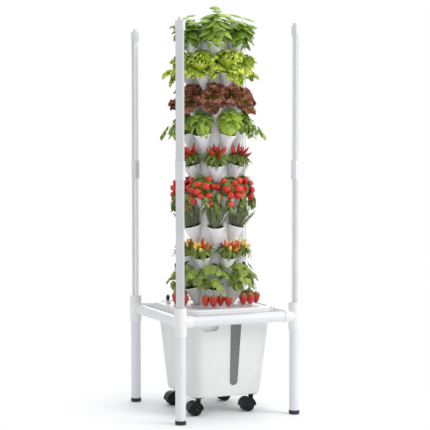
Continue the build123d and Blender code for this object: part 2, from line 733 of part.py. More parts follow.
with BuildPart() as pump_body:
    with BuildSketch(Plane.XY.offset(tank_floor)):
        with Locations((-PUMP_BACK, 0)):
            Rectangle(PUMP_BACK + PUMP_FRONT, PUMP_WIDTH, align=(Align.MIN, Align.CENTER))
    extrude(amount=PUMP_HEIGHT)
    fillet(pump_body.edges().filter_by(Axis.Z), PUMP_ROUND)
    with BuildSketch(Plane.XY.offset(pump_top)):
        Circle(riser_bore - PUSH_FIT)
    extrude(amount=OUTLET_HEIGHT)
    with BuildSketch(across_pump(chamber_back)):
        Circle(CHAMBER_DIAMETER / 2)
    extrude(amount=CHAMBER_DEPTH, mode=Mode.SUBTRACT)
    with BuildSketch(Plane.XY.offset(pump_axis)):
        Circle(OUTLET_BORE / 2)
    extrude(amount=pump_top + OUTLET_HEIGHT - pump_axis, mode=Mode.SUBTRACT)
    with BuildSketch(across_pump(impeller_back - SHAFT_LENGTH - BODY_GAP)):
        Circle(SHAFT_DIAMETER / 2 + RUNNING_FIT)
    extrude(amount=SHAFT_LENGTH, mode=Mode.SUBTRACT)
export_piece(pump_body, "pump_body")

with BuildPart() as pump_impeller:
    with BuildSketch(across_pump(impeller_back)):
        Circle(IMPELLER_DIAMETER / 2)
    extrude(amount=IMPELLER_DISC)
    with BuildSketch(across_pump(impeller_back + IMPELLER_DISC)):
        Circle(IMPELLER_HUB_DIAMETER / 2)
        with PolarLocations(IMPELLER_DIAMETER / 4, IMPELLER_BLADES):
            Rectangle(IMPELLER_DIAMETER / 2 - BLADE_THICKNESS, BLADE_THICKNESS)
    extrude(amount=BLADE_HEIGHT)
    with BuildSketch(across_pump(impeller_back)):
        Circle(SHAFT_DIAMETER / 2)
    extrude(amount=-SHAFT_LENGTH)
export_piece(pump_impeller, "pump_impeller")

with BuildPart() as pump_strainer:
    with BuildSketch(across_pump(PUMP_FRONT)):
        Circle(STRAINER_DIAMETER / 2)
    extrude(amount=STRAINER_DEPTH)
    with BuildSketch(across_pump(PUMP_FRONT)):
        Circle(STRAINER_DIAMETER / 2 - STRAINER_WALL)
    extrude(amount=STRAINER_DEPTH - STRAINER_WALL, mode=Mode.SUBTRACT)
    with BuildSketch(across_pump(PUMP_FRONT + STRAINER_DEPTH)):
        with PolarLocations(STRAINER_SLOT_PLACE, STRAINER_SLOTS):
            SlotOverall(STRAINER_SLOT_LENGTH, STRAINER_SLOT_WIDTH)
    extrude(amount=-STRAINER_WALL, mode=Mode.SUBTRACT)
export_piece(pump_strainer, "pump_strainer")

with BuildPart() as riser_pipe:
    with BuildSketch(Plane.XY.offset(pump_top)):
        Circle(RISER_DIAMETER / 2)
        Circle(riser_bore, mode=Mode.SUBTRACT)
    extrude(amount=spigot_top - pump_top)
export_piece(riser_pipe, "riser_pipe")

with BuildPart() as drip_head:
    with BuildSketch(Plane.XY.offset(spigot_top)):
        Circle(spigot_radius)
        Circle(riser_bore, mode=Mode.SUBTRACT)
        with PolarLocations(DRIP_HOLE_PLACE, DRIP_HOLES):
            Circle(DRIP_HOLE_DIAMETER / 2, mode=Mode.SUBTRACT)
    extrude(amount=DRIP_PLATE)
    with BuildSketch(Plane.XY.offset(spigot_top - DRIP_SOCKET_DEPTH)):
        Circle(RISER_DIAMETER / 2 + PUSH_FIT + DRIP_SOCKET_WALL)
        Circle(RISER_DIAMETER / 2 + PUSH_FIT, mode=Mode.SUBTRACT)
    extrude(amount=DRIP_SOCKET_DEPTH)
export_piece(drip_head, "drip_head")

# Planter column: one tier with six leaning pots, stacked and turned half a step each time

tilt = math.radians(POT_TILT)
pot_up = Vector(math.sin(tilt), 0, math.cos(tilt))
pot_out = Vector(math.cos(tilt), 0, -math.sin(tilt))
rim_centre = Vector(POT_REACH, 0, POT_RIM_HEIGHT)
pot_section = Plane(origin=rim_centre, x_dir=pot_out, z_dir=(0, -1, 0))
pot_axis = Axis(rim_centre, pot_up)
soil_centre = rim_centre - pot_up * (SOIL_DROP - BODY_GAP)
soil_place = Location(Plane(origin=soil_centre, x_dir=pot_out, z_dir=pot_up))


def pot_radius_at(depth, inset):
    """The pot's radius at a depth below its rim, less an inset."""
    return POT_RIM_RADIUS - (POT_RIM_RADIUS - POT_TIP_RADIUS) * depth / POT_DEPTH - inset


with BuildPart() as pot:
    with BuildSketch(pot_section):
        with BuildLine():
            Polyline(
                (0, 0),
                (POT_RIM_RADIUS + POT_LIP, 0),
                (POT_RIM_RADIUS + POT_LIP, -POT_LIP_HEIGHT),
                (pot_radius_at(POT_LIP_HEIGHT, 0), -POT_LIP_HEIGHT),
                (POT_TIP_RADIUS, -POT_DEPTH),
            )
            RadiusArc((POT_TIP_RADIUS, -POT_DEPTH), (0, -POT_DEPTH - POT_TIP_RADIUS), POT_TIP_RADIUS)
            Line((0, -POT_DEPTH - POT_TIP_RADIUS), (0, 0))
        make_face()
    revolve(axis=pot_axis)

with BuildPart() as pot_hollow:
    with BuildSketch(pot_section):
        tip_inside = POT_TIP_RADIUS - POT_WALL
        with BuildLine():
            Polyline(
                (0, -POT_DEPTH - tip_inside),
                (0, POT_WALL),
                (pot_radius_at(0, POT_WALL), POT_WALL),
                (pot_radius_at(0, POT_WALL), 0),
                (tip_inside, -POT_DEPTH),
            )
            RadiusArc((tip_inside, -POT_DEPTH), (0, -POT_DEPTH - tip_inside), tip_inside)
        make_face()
    revolve(axis=pot_axis)

with BuildPart() as tier:
    with BuildSketch():
        Circle(COLUMN_RADIUS)
    extrude(amount=TIER_PITCH)
    with PolarLocations(0, POTS_PER_TIER):
        add(pot.part)
    with BuildSketch():
        Circle(column_bore)
    extrude(amount=TIER_PITCH, mode=Mode.SUBTRACT)
    with PolarLocations(0, POTS_PER_TIER):
        add(pot_hollow.part, mode=Mode.SUBTRACT)
    with BuildSketch(Plane.XY.offset(TIER_PITCH - SHOULDER_HEIGHT)):
        Circle(column_bore)
        Circle(spigot_radius - SPIGOT_WALL, mode=Mode.SUBTRACT)
    extrude(amount=SHOULDER_HEIGHT)
    with BuildSketch(Plane.XY.offset(TIER_PITCH)):
        Circle(spigot_radius)
        Circle(spigot_radius - SPIGOT_WALL, mode=Mode.SUBTRACT)
    extrude(amount=SPIGOT_HEIGHT)

with BuildPart() as plug:
    with BuildSketch(pot_section):
        with BuildLine():
            Polyline(
                (0, -SOIL_DROP),
                (pot_radius_at(SOIL_DROP, POT_WALL + PUSH_FIT), -SOIL_DROP),
                (pot_radius_at(PLUG_DEPTH, POT_WALL + PUSH_FIT), -PLUG_DEPTH),
                (0, -PLUG_DEPTH),
                close=True,
            )
        make_face()
    revolve(axis=pot_axis)
    with BuildSketch():
        Circle(column_bore + PUSH_FIT)
    extrude(amount=TIER_PITCH, mode=Mode.SUBTRACT)

with BuildPart() as plug_ring:
    with PolarLocations(0, POTS_PER_TIER):
        add(plug.part)

tiers = range(1, TIER_COUNT + 1)
for number in tiers:
    export_copies(tier, f"planter_tier_{number}", [tier_location(number)])
export_copies(plug_ring, "grow_plugs", [tier_location(number) for number in tiers])

with BuildPart() as top_cap:
    with BuildSketch(Plane.XY.offset(tower_top + BODY_GAP)):
        Circle(COLUMN_RADIUS)
    extrude(amount=CAP_COVER_HEIGHT)
    fillet(top_cap.edges().group_by(Axis.Z)[-1], CAP_COVER_EDGE)
    with BuildSketch(Plane.XY.offset(tower_top + BODY_GAP)):
        Circle(column_bore)
    extrude(amount=CAP_COVER_HEIGHT - CAP_COVER_WALL, mode=Mode.SUBTRACT)
export_piece(top_cap, "top_cap")

# Plants, made upright with +X pointing away from the tower, then set in a tier's six pots

STANDING = (Align.CENTER, Align.CENTER, Align.MIN)


def crown(size, heart=0):
    """A crown of leaves on its stem: a dome, or with a heart depth a rosette with a hollow heart."""
    stem, stem_top = size["stem"], size["stem_height"]
    spread, waist, top = size["spread"], size["waist"], size["top"]
    ring = spread / 2 if heart else CROWN_FLAT
    with BuildPart() as leaves:
        with BuildSketch(Plane.XZ):
            with BuildLine():
                Polyline((0, top - heart), (0, 0), (stem, 0), (stem, stem_top))
                EllipticalCenterArc(
                    (stem, waist), spread - stem, waist - stem_top, start_angle=270, arc_size=90
                )
                EllipticalCenterArc(
                    (ring, waist), spread - ring, top - waist, start_angle=0, arc_size=90
                )
                Line((ring, top), (0, top - heart))
            make_face()
        revolve(axis=Axis.Z)
    return leaves


def crown_with_chillies(size):
    leaves = crown(size)
    with BuildPart() as plant:
        add(leaves.part)
        with PolarLocations(CHILLI_RING, CHILLIES_PER_PLANT):
            with Locations(Location((0, 0, CHILLI_ROOT), (0, CHILLI_LEAN, 0))):
                Cone(CHILLI_RADIUS, CHILLI_TIP, CHILLI_LENGTH, align=STANDING)
    return plant


def export_plants(plant, name, number, hanging=None):
    """Sets a plant in each pot of a tier. What hangs stays upright."""
    with BuildPart() as row:
        with Locations(tier_location(number)):
            with PolarLocations(0, POTS_PER_TIER):
                with Locations(soil_place):
                    add(plant.part)
                if hanging:
                    add(hanging.part)
    export_piece(row, name)


tomato_crown = crown(TOMATO)
with BuildPart() as tomato_plant:
    add(tomato_crown.part)
    for level in TOMATO_LEVELS:
        for angle in TOMATO_ANGLES:
            with PolarLocations(TOMATO_RING, 1, start_angle=angle):
                with Locations((0, 0, level)):
                    Sphere(TOMATO_RADIUS)

with BuildPart() as rosemary_plant:
    with BuildSketch():
        Circle(SPRIG_RING + SPRIG_RADIUS)
    extrude(amount=SPRIG_CROWN_HEIGHT)
    with PolarLocations(SPRIG_RING, SPRIG_COUNT):
        with Locations(Location((0, 0, SPRIG_CROWN_HEIGHT / 2), (0, SPRIG_LEAN, 0))):
            Cone(SPRIG_RADIUS, SPRIG_TIP, SPRIG_LENGTH, align=STANDING)

berry_reach = POT_REACH + BERRY_OUT
berry_top = POT_RIM_HEIGHT - BERRY_HANG

with BuildPart() as berry:
    with BuildSketch(Plane.XZ):
        with BuildLine():
            Polyline((0, -BERRY_LENGTH), (0, 0), (BERRY_TIP, 0))
            ThreePointArc((BERRY_TIP, 0), (BERRY_RADIUS, -BERRY_RADIUS), (BERRY_TIP, -BERRY_LENGTH))
            Line((BERRY_TIP, -BERRY_LENGTH), (0, -BERRY_LENGTH))
        make_face()
    revolve(axis=Axis.Z)

with BuildPart() as berries:
    for side in BERRY_SIDES:
        with BuildLine() as stalk_path:
            FilletPolyline(
                (POT_REACH, side / 2, POT_RIM_HEIGHT + STALK_RISE),
                (berry_reach, side, POT_RIM_HEIGHT + STALK_RISE),
                (berry_reach, side, berry_top - BERRY_TIP),
                radius=STALK_BEND,
            )
        with BuildSketch(Plane(origin=stalk_path.line @ 0, z_dir=stalk_path.line % 0)):
            Circle(STALK_DIAMETER / 2)
        sweep(path=stalk_path.line)
        with Locations((berry_reach, side, berry_top)):
            add(berry.part)

export_plants(crown(BASIL), "basil_plants", 1)
export_plants(crown(GREEN_LETTUCE, HEART_DEPTH), "green_lettuce_plants", 2)
export_plants(crown(RED_LETTUCE, HEART_DEPTH), "red_lettuce_plants", 3)
export_plants(crown(HERBS), "herb_plants", 4)
export_plants(crown_with_chillies(RED_CHILLI), "red_chilli_plants", 5)
export_plants(tomato_plant, "tomato_plants", 6)
export_plants(rosemary_plant, "rosemary_plants", 7)
export_plants(crown_with_chillies(MIXED_CHILLI), "mixed_chilli_plants", 8)
export_plants(crown(STRAWBERRY), "strawberry_plants", 9, berries)
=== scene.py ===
# %% [markdown]
# # A planted hydroponic tower
#
# The object is a white tower of stacked pots on a wheeled water tank. A pipe frame with four light posts
# stands round it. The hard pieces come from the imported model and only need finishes. The plants are made
# here, because a plant is its leaves, and plain solids can't show them.

# %% Load the frame
import math
import random

import bmesh
import bpy
from mathutils import Matrix, Vector


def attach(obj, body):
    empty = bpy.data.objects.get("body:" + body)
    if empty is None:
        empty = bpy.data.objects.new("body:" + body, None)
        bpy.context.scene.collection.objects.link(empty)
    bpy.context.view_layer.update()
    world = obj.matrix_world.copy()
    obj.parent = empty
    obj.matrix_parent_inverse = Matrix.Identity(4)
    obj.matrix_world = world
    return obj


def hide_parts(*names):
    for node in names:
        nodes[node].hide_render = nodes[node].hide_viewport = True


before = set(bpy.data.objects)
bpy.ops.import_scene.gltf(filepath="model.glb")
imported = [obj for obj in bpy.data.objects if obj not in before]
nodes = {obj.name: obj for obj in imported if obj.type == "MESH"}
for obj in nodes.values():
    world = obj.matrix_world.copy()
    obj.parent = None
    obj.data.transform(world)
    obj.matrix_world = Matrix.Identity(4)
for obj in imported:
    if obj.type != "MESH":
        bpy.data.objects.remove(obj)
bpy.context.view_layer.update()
MM = 0.001
print("frame has", len(nodes), "nodes")

# %% [markdown]
# ## Camera, floor and light
#
# The photo was taken from far away with a long lens, a little above the middle of the tower. The floor is a
# large pale sheet that fades to plain white away from the object, so there is no line where floor and wall
# meet. The light is soft: large lamps in front, above and behind, and a pale sky that fills the shadows.

# %% Camera
CAMERA_PLACE = (-2.103, -4.741, 1.071)
CAMERA_PITCH = 87.23
CAMERA_HEADING = -24.007
CAMERA_LENS = 102.76
CAMERA_FILM = 36
CAMERA_SIGHT = 60

bpy.ops.object.select_all(action="DESELECT")
bpy.ops.object.camera_add(location=CAMERA_PLACE)
camera = bpy.context.object
camera.name = "camera"
camera.rotation_euler = (math.radians(CAMERA_PITCH), 0, math.radians(CAMERA_HEADING))
camera.data.sensor_width = CAMERA_FILM
camera.data.lens = CAMERA_LENS
camera.data.clip_end = CAMERA_SIGHT
scene = bpy.context.scene
scene.camera = camera
scene.view_settings.view_transform = "Standard"

# %% Backdrop
SKY_COLOUR = (0.95, 0.97, 1, 1)
SKY_STRENGTH = 0.64
PLAIN_WHITE = (1, 1, 1, 1)


def seen_directly(tree):
    """One for the camera's rays and for those that reach it by a mirror or through glass, and else nought."""
    path = tree.nodes.new("ShaderNodeLightPath")
    seen = path.outputs["Is Camera Ray"]
    for ray in ("Is Glossy Ray", "Is Transmission Ray"):
        either = tree.nodes.new("ShaderNodeMath")
        either.operation = "MAXIMUM"
        tree.links.new(seen, either.inputs[0])
        tree.links.new(path.outputs[ray], either.inputs[1])
        seen = either.outputs[0]
    return seen


def mixed_shader(tree, share, first, second):
    mix = tree.nodes.new("ShaderNodeMixShader")
    tree.links.new(share, mix.inputs[0])
    tree.links.new(first, mix.inputs[1])
    tree.links.new(second, mix.inputs[2])
    return mix.outputs[0]


world = bpy.data.worlds.new("studio")
world.use_nodes = True
scene.world = world
sky_tree = world.node_tree
sky = sky_tree.nodes["Background"]
sky.inputs["Color"].default_value = SKY_COLOUR
sky.inputs["Strength"].default_value = SKY_STRENGTH
white = sky_tree.nodes.new("ShaderNodeBackground")
white.inputs["Color"].default_value = PLAIN_WHITE
backdrop = mixed_shader(sky_tree, seen_directly(sky_tree), sky.outputs[0], white.outputs[0])
sky_tree.links.new(backdrop, sky_tree.nodes["World Output"].inputs[0])

# %% Floor
FLOOR_SIZE = 40
FLOOR_DROP = 0.0005
FLOOR_COLOUR = (0.93, 0.93, 0.93, 1)
FLOOR_ROUGHNESS = 0.9
SHADOW_KEPT = 0.25
SHADOW_GONE = 0.7

bpy.ops.mesh.primitive_plane_add(size=FLOOR_SIZE, location=(0, 0, -FLOOR_DROP))
floor = bpy.context.object
floor.name = "studio_floor"
floor_paint = bpy.data.materials.new("studio_floor")
floor_paint.use_nodes = True
floor_tree = floor_paint.node_tree
floor_bsdf = floor_tree.nodes["Principled BSDF"]
floor_bsdf.inputs["Base Color"].default_value = FLOOR_COLOUR
floor_bsdf.inputs["Roughness"].default_value = FLOOR_ROUGHNESS
floor_place = floor_tree.nodes.new("ShaderNodeTexCoord")
floor_reach = floor_tree.nodes.new("ShaderNodeVectorMath")
floor_reach.operation = "LENGTH"
floor_tree.links.new(floor_place.outputs["Object"], floor_reach.inputs[0])
floor_fade = floor_tree.nodes.new("ShaderNodeMapRange")
floor_fade.interpolation_type = "SMOOTHSTEP"
floor_fade.inputs["From Min"].default_value = SHADOW_KEPT
floor_fade.inputs["From Max"].default_value = SHADOW_GONE
floor_tree.links.new(floor_reach.outputs["Value"], floor_fade.inputs["Value"])
floor_white = floor_tree.nodes.new("ShaderNodeEmission")
faded = mixed_shader(floor_tree, floor_fade.outputs["Result"], floor_bsdf.outputs[0], floor_white.outputs[0])
shown = mixed_shader(floor_tree, seen_directly(floor_tree), floor_bsdf.outputs[0], faded)
floor_tree.links.new(shown, floor_tree.nodes["Material Output"].inputs[0])
floor.data.materials.append(floor_paint)

# %% Lamps
LAMP_AIM = Vector((0, 0, 0.85))


def soft_lamp(name, place, size, power):
    """A large round lamp, in metres and watts, that faces the middle of the tower."""
    bpy.ops.object.light_add(type="AREA", location=place)
    lamp = bpy.context.object
    lamp.name = name
    lamp.data.shape = "DISK"
    lamp.data.size = size
    lamp.data.energy = power
    aim = LAMP_AIM - Vector(place)
    lamp.rotation_euler = aim.to_track_quat("-Z", "Y").to_euler()


soft_lamp("key_lamp", place=(3.2, -3.2, 3.0), size=2.6, power=112)
soft_lamp("fill_lamp", place=(-3.6, -3.0, 2.2), size=2.8, power=10)
soft_lamp("top_lamp", place=(0.2, 0.2, 4.6), size=2.4, power=62)
soft_lamp("back_lamp", place=(1.5, 4.2, 2.6), size=2.4, power=45)
print("camera, floor and lamps are set")

# %% [markdown]
# ## Finishes that repeat
#
# Moulded plastic isn't perfectly even: it has a faint grain, and its shine changes where hands have rubbed
# it. One node group gives that to every plastic here, each with its own values. A second group draws the
# veins of a leaf from the leaf's own UV map, and a third reads the tone that each leaf was given when it
# was placed.


# %% Node helpers
def feed(tree, value, socket):
    """Links another node's output to a socket, or sets the socket to a plain number."""
    if hasattr(value, "is_output"):
        tree.links.new(value, socket)
    else:
        socket.default_value = value


def object_place(tree):
    return tree.nodes.new("ShaderNodeTexCoord").outputs["Object"]


def noise_at(tree, place, scale, detail):
    noise = tree.nodes.new("ShaderNodeTexNoise")
    noise.inputs["Detail"].default_value = detail
    tree.links.new(place, noise.inputs["Vector"])
    feed(tree, scale, noise.inputs["Scale"])
    return noise.outputs["Fac"]


def maths(tree, operation, *values):
    node = tree.nodes.new("ShaderNodeMath")
    node.operation = operation
    for socket, value in zip(node.inputs, values):
        feed(tree, value, socket)
    return node.outputs[0]


def ranged(tree, value, low, high, new_low=0.0, new_high=1.0):
    node = tree.nodes.new("ShaderNodeMapRange")
    node.interpolation_type = "SMOOTHSTEP"
    tree.links.new(value, node.inputs["Value"])
    node.inputs["From Min"].default_value = low
    node.inputs["From Max"].default_value = high
    node.inputs["To Min"].default_value = new_low
    node.inputs["To Max"].default_value = new_high
    return node.outputs["Result"]


# %% Node groups
CLOUD_SCALE = 9.0
CLOUD_EDGES = (0.35, 0.72)
MIDRIB_EDGES = (0.012, 0.05)
SIDE_VEIN_EDGES = (0.03, 0.13)
SIDE_VEIN_DEPTH = 0.75
BLISTER_RISE = 1.4
MOTTLE_SCALE = 60.0


def group_with(name, inputs, outputs):
    tree = bpy.data.node_groups.new(name, "ShaderNodeTree")
    for label, value in inputs:
        socket = tree.interface.new_socket(label, in_out="INPUT", socket_type="NodeSocketFloat")
        socket.default_value = value
    for label in outputs:
        tree.interface.new_socket(label, in_out="OUTPUT", socket_type="NodeSocketFloat")
    return tree, tree.nodes.new("NodeGroupInput"), tree.nodes.new("NodeGroupOutput")


def leaf_axes(tree):
    """A leaf's own UV map, split in two: the first runs across the blade and the second along it."""
    split = tree.nodes.new("ShaderNodeSeparateXYZ")
    tree.links.new(tree.nodes.new("ShaderNodeUVMap").outputs["UV"], split.inputs[0])
    return split.outputs["X"], split.outputs["Y"]


def moulded_group():
    """Fine grain for the bump, and slow clouds for where the surface is handled."""
    tree, given, out = group_with("Moulded surface", [("Grain scale", 900.0)], ["Grain", "Handling"])
    place = object_place(tree)
    grain = noise_at(tree, place, given.outputs["Grain scale"], detail=2)
    clouds = noise_at(tree, place, CLOUD_SCALE, detail=3)
    tree.links.new(grain, out.inputs["Grain"])
    tree.links.new(ranged(tree, clouds, *CLOUD_EDGES), out.inputs["Handling"])
    return tree


def vein_group():
    """A leaf's midrib and its slanting side veins, and how the blade swells between them."""
    tree, given, out = group_with("Leaf veins", [("Veins", 7.0), ("Slant", 2.4)], ["Veins", "Blister"])
    across, along = leaf_axes(tree)
    off_middle = maths(tree, "ABSOLUTE", maths(tree, "SUBTRACT", across, 0.5))
    midrib = ranged(tree, off_middle, *MIDRIB_EDGES, 1.0, 0.0)
    slanted = maths(tree, "MULTIPLY", off_middle, given.outputs["Slant"])
    steps = maths(tree, "MULTIPLY", maths(tree, "SUBTRACT", along, slanted), given.outputs["Veins"])
    wave = maths(tree, "ABSOLUTE", maths(tree, "SUBTRACT", maths(tree, "FRACT", steps), 0.5))
    side = ranged(tree, wave, *SIDE_VEIN_EDGES, SIDE_VEIN_DEPTH, 0.0)
    blister = maths(tree, "SUBTRACT", maths(tree, "MULTIPLY", wave, BLISTER_RISE), midrib)
    tree.links.new(maths(tree, "MAXIMUM", midrib, side), out.inputs["Veins"])
    tree.links.new(blister, out.inputs["Blister"])
    return tree


def tone_group():
    """The tone given to each leaf, with a slow change over its blade, and the way along the blade."""
    tree, given, out = group_with("Leaf tone", [("Mottle", 0.25)], ["Tone", "Along"])
    tone = tree.nodes.new("ShaderNodeAttribute")
    tone.attribute_name = "tone"
    mottle = maths(tree, "SUBTRACT", noise_at(tree, object_place(tree), MOTTLE_SCALE, detail=2), 0.5)
    mixed = maths(tree, "MULTIPLY_ADD", mottle, given.outputs["Mottle"], tone.outputs["Fac"])
    tree.links.new(mixed, out.inputs["Tone"])
    tree.links.new(leaf_axes(tree)[1], out.inputs["Along"])
    return tree


MOULDED = moulded_group()
VEINS = vein_group()
TONE = tone_group()
print("made the groups", MOULDED.name, VEINS.name, TONE.name)


# %% Material helpers
def start_material(name):
    material = bpy.data.materials.new(name)
    material.use_nodes = True
    return material, material.node_tree, material.node_tree.nodes["Principled BSDF"]


def use_group(tree, group, **values):
    node = tree.nodes.new("ShaderNodeGroup")
    node.node_tree = group
    for label, value in values.items():
        node.inputs[label.replace("_", " ")].default_value = value
    return node


def mix_colour(tree, share, first, second):
    """Mixes two colours. Each is another node's output or three plain numbers."""
    mix = tree.nodes.new("ShaderNodeMix")
    mix.data_type = "RGBA"
    tree.links.new(share, mix.inputs["Factor"])
    for socket, colour in ((mix.inputs[6], first), (mix.inputs[7], second)):
        feed(tree, (*colour, 1) if isinstance(colour, tuple) else colour, socket)
    return mix.outputs[2]


def bump(tree, bsdf, height, strength, distance):
    node = tree.nodes.new("ShaderNodeBump")
    node.inputs["Strength"].default_value = strength
    node.inputs["Distance"].default_value = distance
    tree.links.new(height, node.inputs["Height"])
    tree.links.new(node.outputs["Normal"], bsdf.inputs["Normal"])


def shade(colour, factor):
    return tuple(channel * factor for channel in colour)


# %% [markdown]
# ## Plastics, pipes and rubber
#
# The frame's pipe is a cool white, its fittings and the tank are a warmer one, and the tower is a glossy
# white. The feet, wheels and float knob are black. All of them use the moulded group: the grain feeds a very
# small bump, and the handling clouds change the roughness and, a little, the colour. Painted marks would
# need a UV map for each piece, and the clouds need none.

# %% Moulded plastic
ROUGH_LEAST = 0.94
ROUGH_MOST = 1.1
COAT_ROUGHNESS = 0.15
GRAIN_DEPTH = 0.0004


def moulded(
    name, colour, rough, grain_scale=900.0, grain=0.06, worn=0.93, coat=0.0, metallic=0.0, specular=0.5
):
    material, tree, bsdf = start_material(name)
    surface = use_group(tree, MOULDED, Grain_scale=grain_scale)
    tinted = mix_colour(tree, surface.outputs["Handling"], colour, shade(colour, worn))
    tree.links.new(tinted, bsdf.inputs["Base Color"])
    shine = ranged(tree, surface.outputs["Handling"], 0.0, 1.0, rough * ROUGH_LEAST, rough * ROUGH_MOST)
    tree.links.new(shine, bsdf.inputs["Roughness"])
    bsdf.inputs["Metallic"].default_value = metallic
    bsdf.inputs["Specular IOR Level"].default_value = specular
    bsdf.inputs["Coat Weight"].default_value = coat
    bsdf.inputs["Coat Roughness"].default_value = COAT_ROUGHNESS
    bump(tree, bsdf, surface.outputs["Grain"], grain, GRAIN_DEPTH)
    return material


pipe_white = moulded("frame_pipe_white", (0.79, 0.8, 0.82), 0.3, worn=0.97)
fitting_white = moulded("frame_fitting_white", (0.86, 0.857, 0.845), 0.34, grain_scale=700, worn=0.97)
rubber_black = moulded(
    "foot_rubber_black", (0.018, 0.018, 0.019), 0.7, grain_scale=1400, grain=0.2, worn=1.8
)
housing_grey = moulded("light_housing_satin", (0.66, 0.67, 0.68), 0.38, grain_scale=1600, metallic=0.25)
cap_grey = moulded("light_end_cap_grey", (0.77, 0.78, 0.79), 0.42)
board_white = moulded("led_board_white", (0.8, 0.8, 0.77), 0.5)
tank_white = moulded("tank_white", (0.8, 0.8, 0.785), 0.36, grain_scale=600, grain=0.09, worn=0.96)
lid_white = moulded("tank_lid_white", (0.88, 0.882, 0.885), 0.3, grain_scale=700, worn=0.96)
tower_white = moulded("tower_white", (0.86, 0.862, 0.865), 0.28, worn=0.95, coat=0.15)
window_grey = moulded("level_window_smoked", (0.14, 0.144, 0.152), 0.16, grain=0.02, worn=1.15, coat=0.4)
caster_black = moulded(
    "caster_black", (0.012, 0.012, 0.013), 0.45, grain_scale=1100, grain=0.12, worn=1.8, specular=0.2
)
wheel_black = moulded(
    "caster_wheel_black", (0.013, 0.013, 0.014), 0.55, grain=0.12, worn=2.0, specular=0.2
)
plate_black = moulded("caster_plate_black", (0.03, 0.03, 0.032), 0.4, metallic=0.3)
float_black = moulded("float_black", (0.013, 0.013, 0.014), 0.3, worn=1.6, coat=0.2)
pump_black = moulded("pump_black", (0.025, 0.025, 0.027), 0.5, grain=0.15)
impeller_white = moulded("impeller_white", (0.75, 0.75, 0.72), 0.4)
riser_white = moulded("riser_white", (0.82, 0.82, 0.82), 0.35)

# %% Finishes on the hard pieces
CORNER_NAMES = ("front_left", "front_right", "back_right", "back_left")
SIDE_NAMES = ("front", "right", "back", "left")
TIER_COUNT = 9


def coat_nodes(material, *names):
    for name in names:
        piece = nodes[name]
        piece.data.materials.clear()
        piece.data.materials.append(material)


for corner in CORNER_NAMES:
    coat_nodes(pipe_white, f"leg_{corner}")
    coat_nodes(fitting_white, f"corner_fitting_{corner}")
    coat_nodes(housing_grey, f"light_housing_{corner}")
    coat_nodes(caster_black, f"caster_hood_{corner}")
    coat_nodes(wheel_black, f"caster_wheels_{corner}")
for side in SIDE_NAMES:
    coat_nodes(pipe_white, f"rail_{side}")
for tier in range(1, TIER_COUNT + 1):
    coat_nodes(tower_white, f"planter_tier_{tier}")
coat_nodes(tower_white, "tower_foot", "top_cap", "float_guide")
coat_nodes(rubber_black, "rubber_feet")
coat_nodes(cap_grey, "light_end_caps")
coat_nodes(board_white, "led_boards")
coat_nodes(tank_white, "tank")
coat_nodes(lid_white, "tank_lid")
coat_nodes(window_grey, "level_window")
coat_nodes(plate_black, "caster_plates")
coat_nodes(float_black, "float_gauge")
coat_nodes(pump_black, "pump_body", "pump_strainer")
coat_nodes(impeller_white, "pump_impeller")
coat_nodes(riser_white, "riser_pipe", "drip_head")

# %% [markdown]
# ## Lit diffusers
#
# Each light bar has a milky cover with a row of small lamps behind it. Lit, the cover glows almost evenly, a
# bit brighter over each lamp. The glow is an emission colour that ripples along Z, and its strength is a
# plain number. It is faint, because the covers in the photo are plain white strips.

# %% Diffuser
LAMPS_PER_METRE = 90.0
GLOW_BETWEEN = (0.82, 0.82, 0.81)
GLOW_OVER_LAMP = (0.88, 0.88, 0.87)
GLOW_STRENGTH = 0.14
DIFFUSER_ROUGHNESS = 0.42

diffuser, tree, bsdf = start_material("diffuser_lit")
split = tree.nodes.new("ShaderNodeSeparateXYZ")
tree.links.new(object_place(tree), split.inputs[0])
ripple = maths(tree, "SINE", maths(tree, "MULTIPLY", split.outputs["Z"], 2 * math.pi * LAMPS_PER_METRE))
glow = mix_colour(tree, ranged(tree, ripple, -1.0, 1.0), GLOW_BETWEEN, GLOW_OVER_LAMP)
tree.links.new(glow, bsdf.inputs["Emission Color"])
tree.links.new(glow, bsdf.inputs["Base Color"])
bsdf.inputs["Emission Strength"].default_value = GLOW_STRENGTH
bsdf.inputs["Roughness"].default_value = DIFFUSER_ROUGHNESS
coat_nodes(diffuser, "light_diffusers")

# %% [markdown]
# ## Growing medium
#
# The pots are filled with a dark damp fibre. The solid gives its flat top. A lumpy noise makes its colour
# and its bump, and loose crumbs, made further on, break up the flat.

# %% Growing medium
LUMP_SCALE = 260.0
LUMP_EDGES = (0.35, 0.7)
FIBRE_DARK = (0.008, 0.006, 0.005)
FIBRE_LIGHT = (0.05, 0.036, 0.026)
FIBRE_ROUGHNESS = 0.92
LUMP_STRENGTH = 0.8
LUMP_HEIGHT = 0.003

medium, tree, bsdf = start_material("growing_medium_dark")
lumps = noise_at(tree, object_place(tree), LUMP_SCALE, detail=6)
fibre = mix_colour(tree, ranged(tree, lumps, *LUMP_EDGES), FIBRE_DARK, FIBRE_LIGHT)
tree.links.new(fibre, bsdf.inputs["Base Color"])
bsdf.inputs["Roughness"].default_value = FIBRE_ROUGHNESS
bump(tree, bsdf, lumps, LUMP_STRENGTH, LUMP_HEIGHT)
coat_nodes(medium, "grow_plugs")
print("hard pieces have their finishes")

# %% [markdown]
# ## Where the pots are
#
# A plant is made standing at the origin, with X pointing away from the tower. Its matrix leans it with its
# pot and carries it to its tier. These numbers repeat the tower's own sizes, in millimetres. The float's
# knob rises beside one pot of the lowest tier, and its place is given as it lies from that pot.

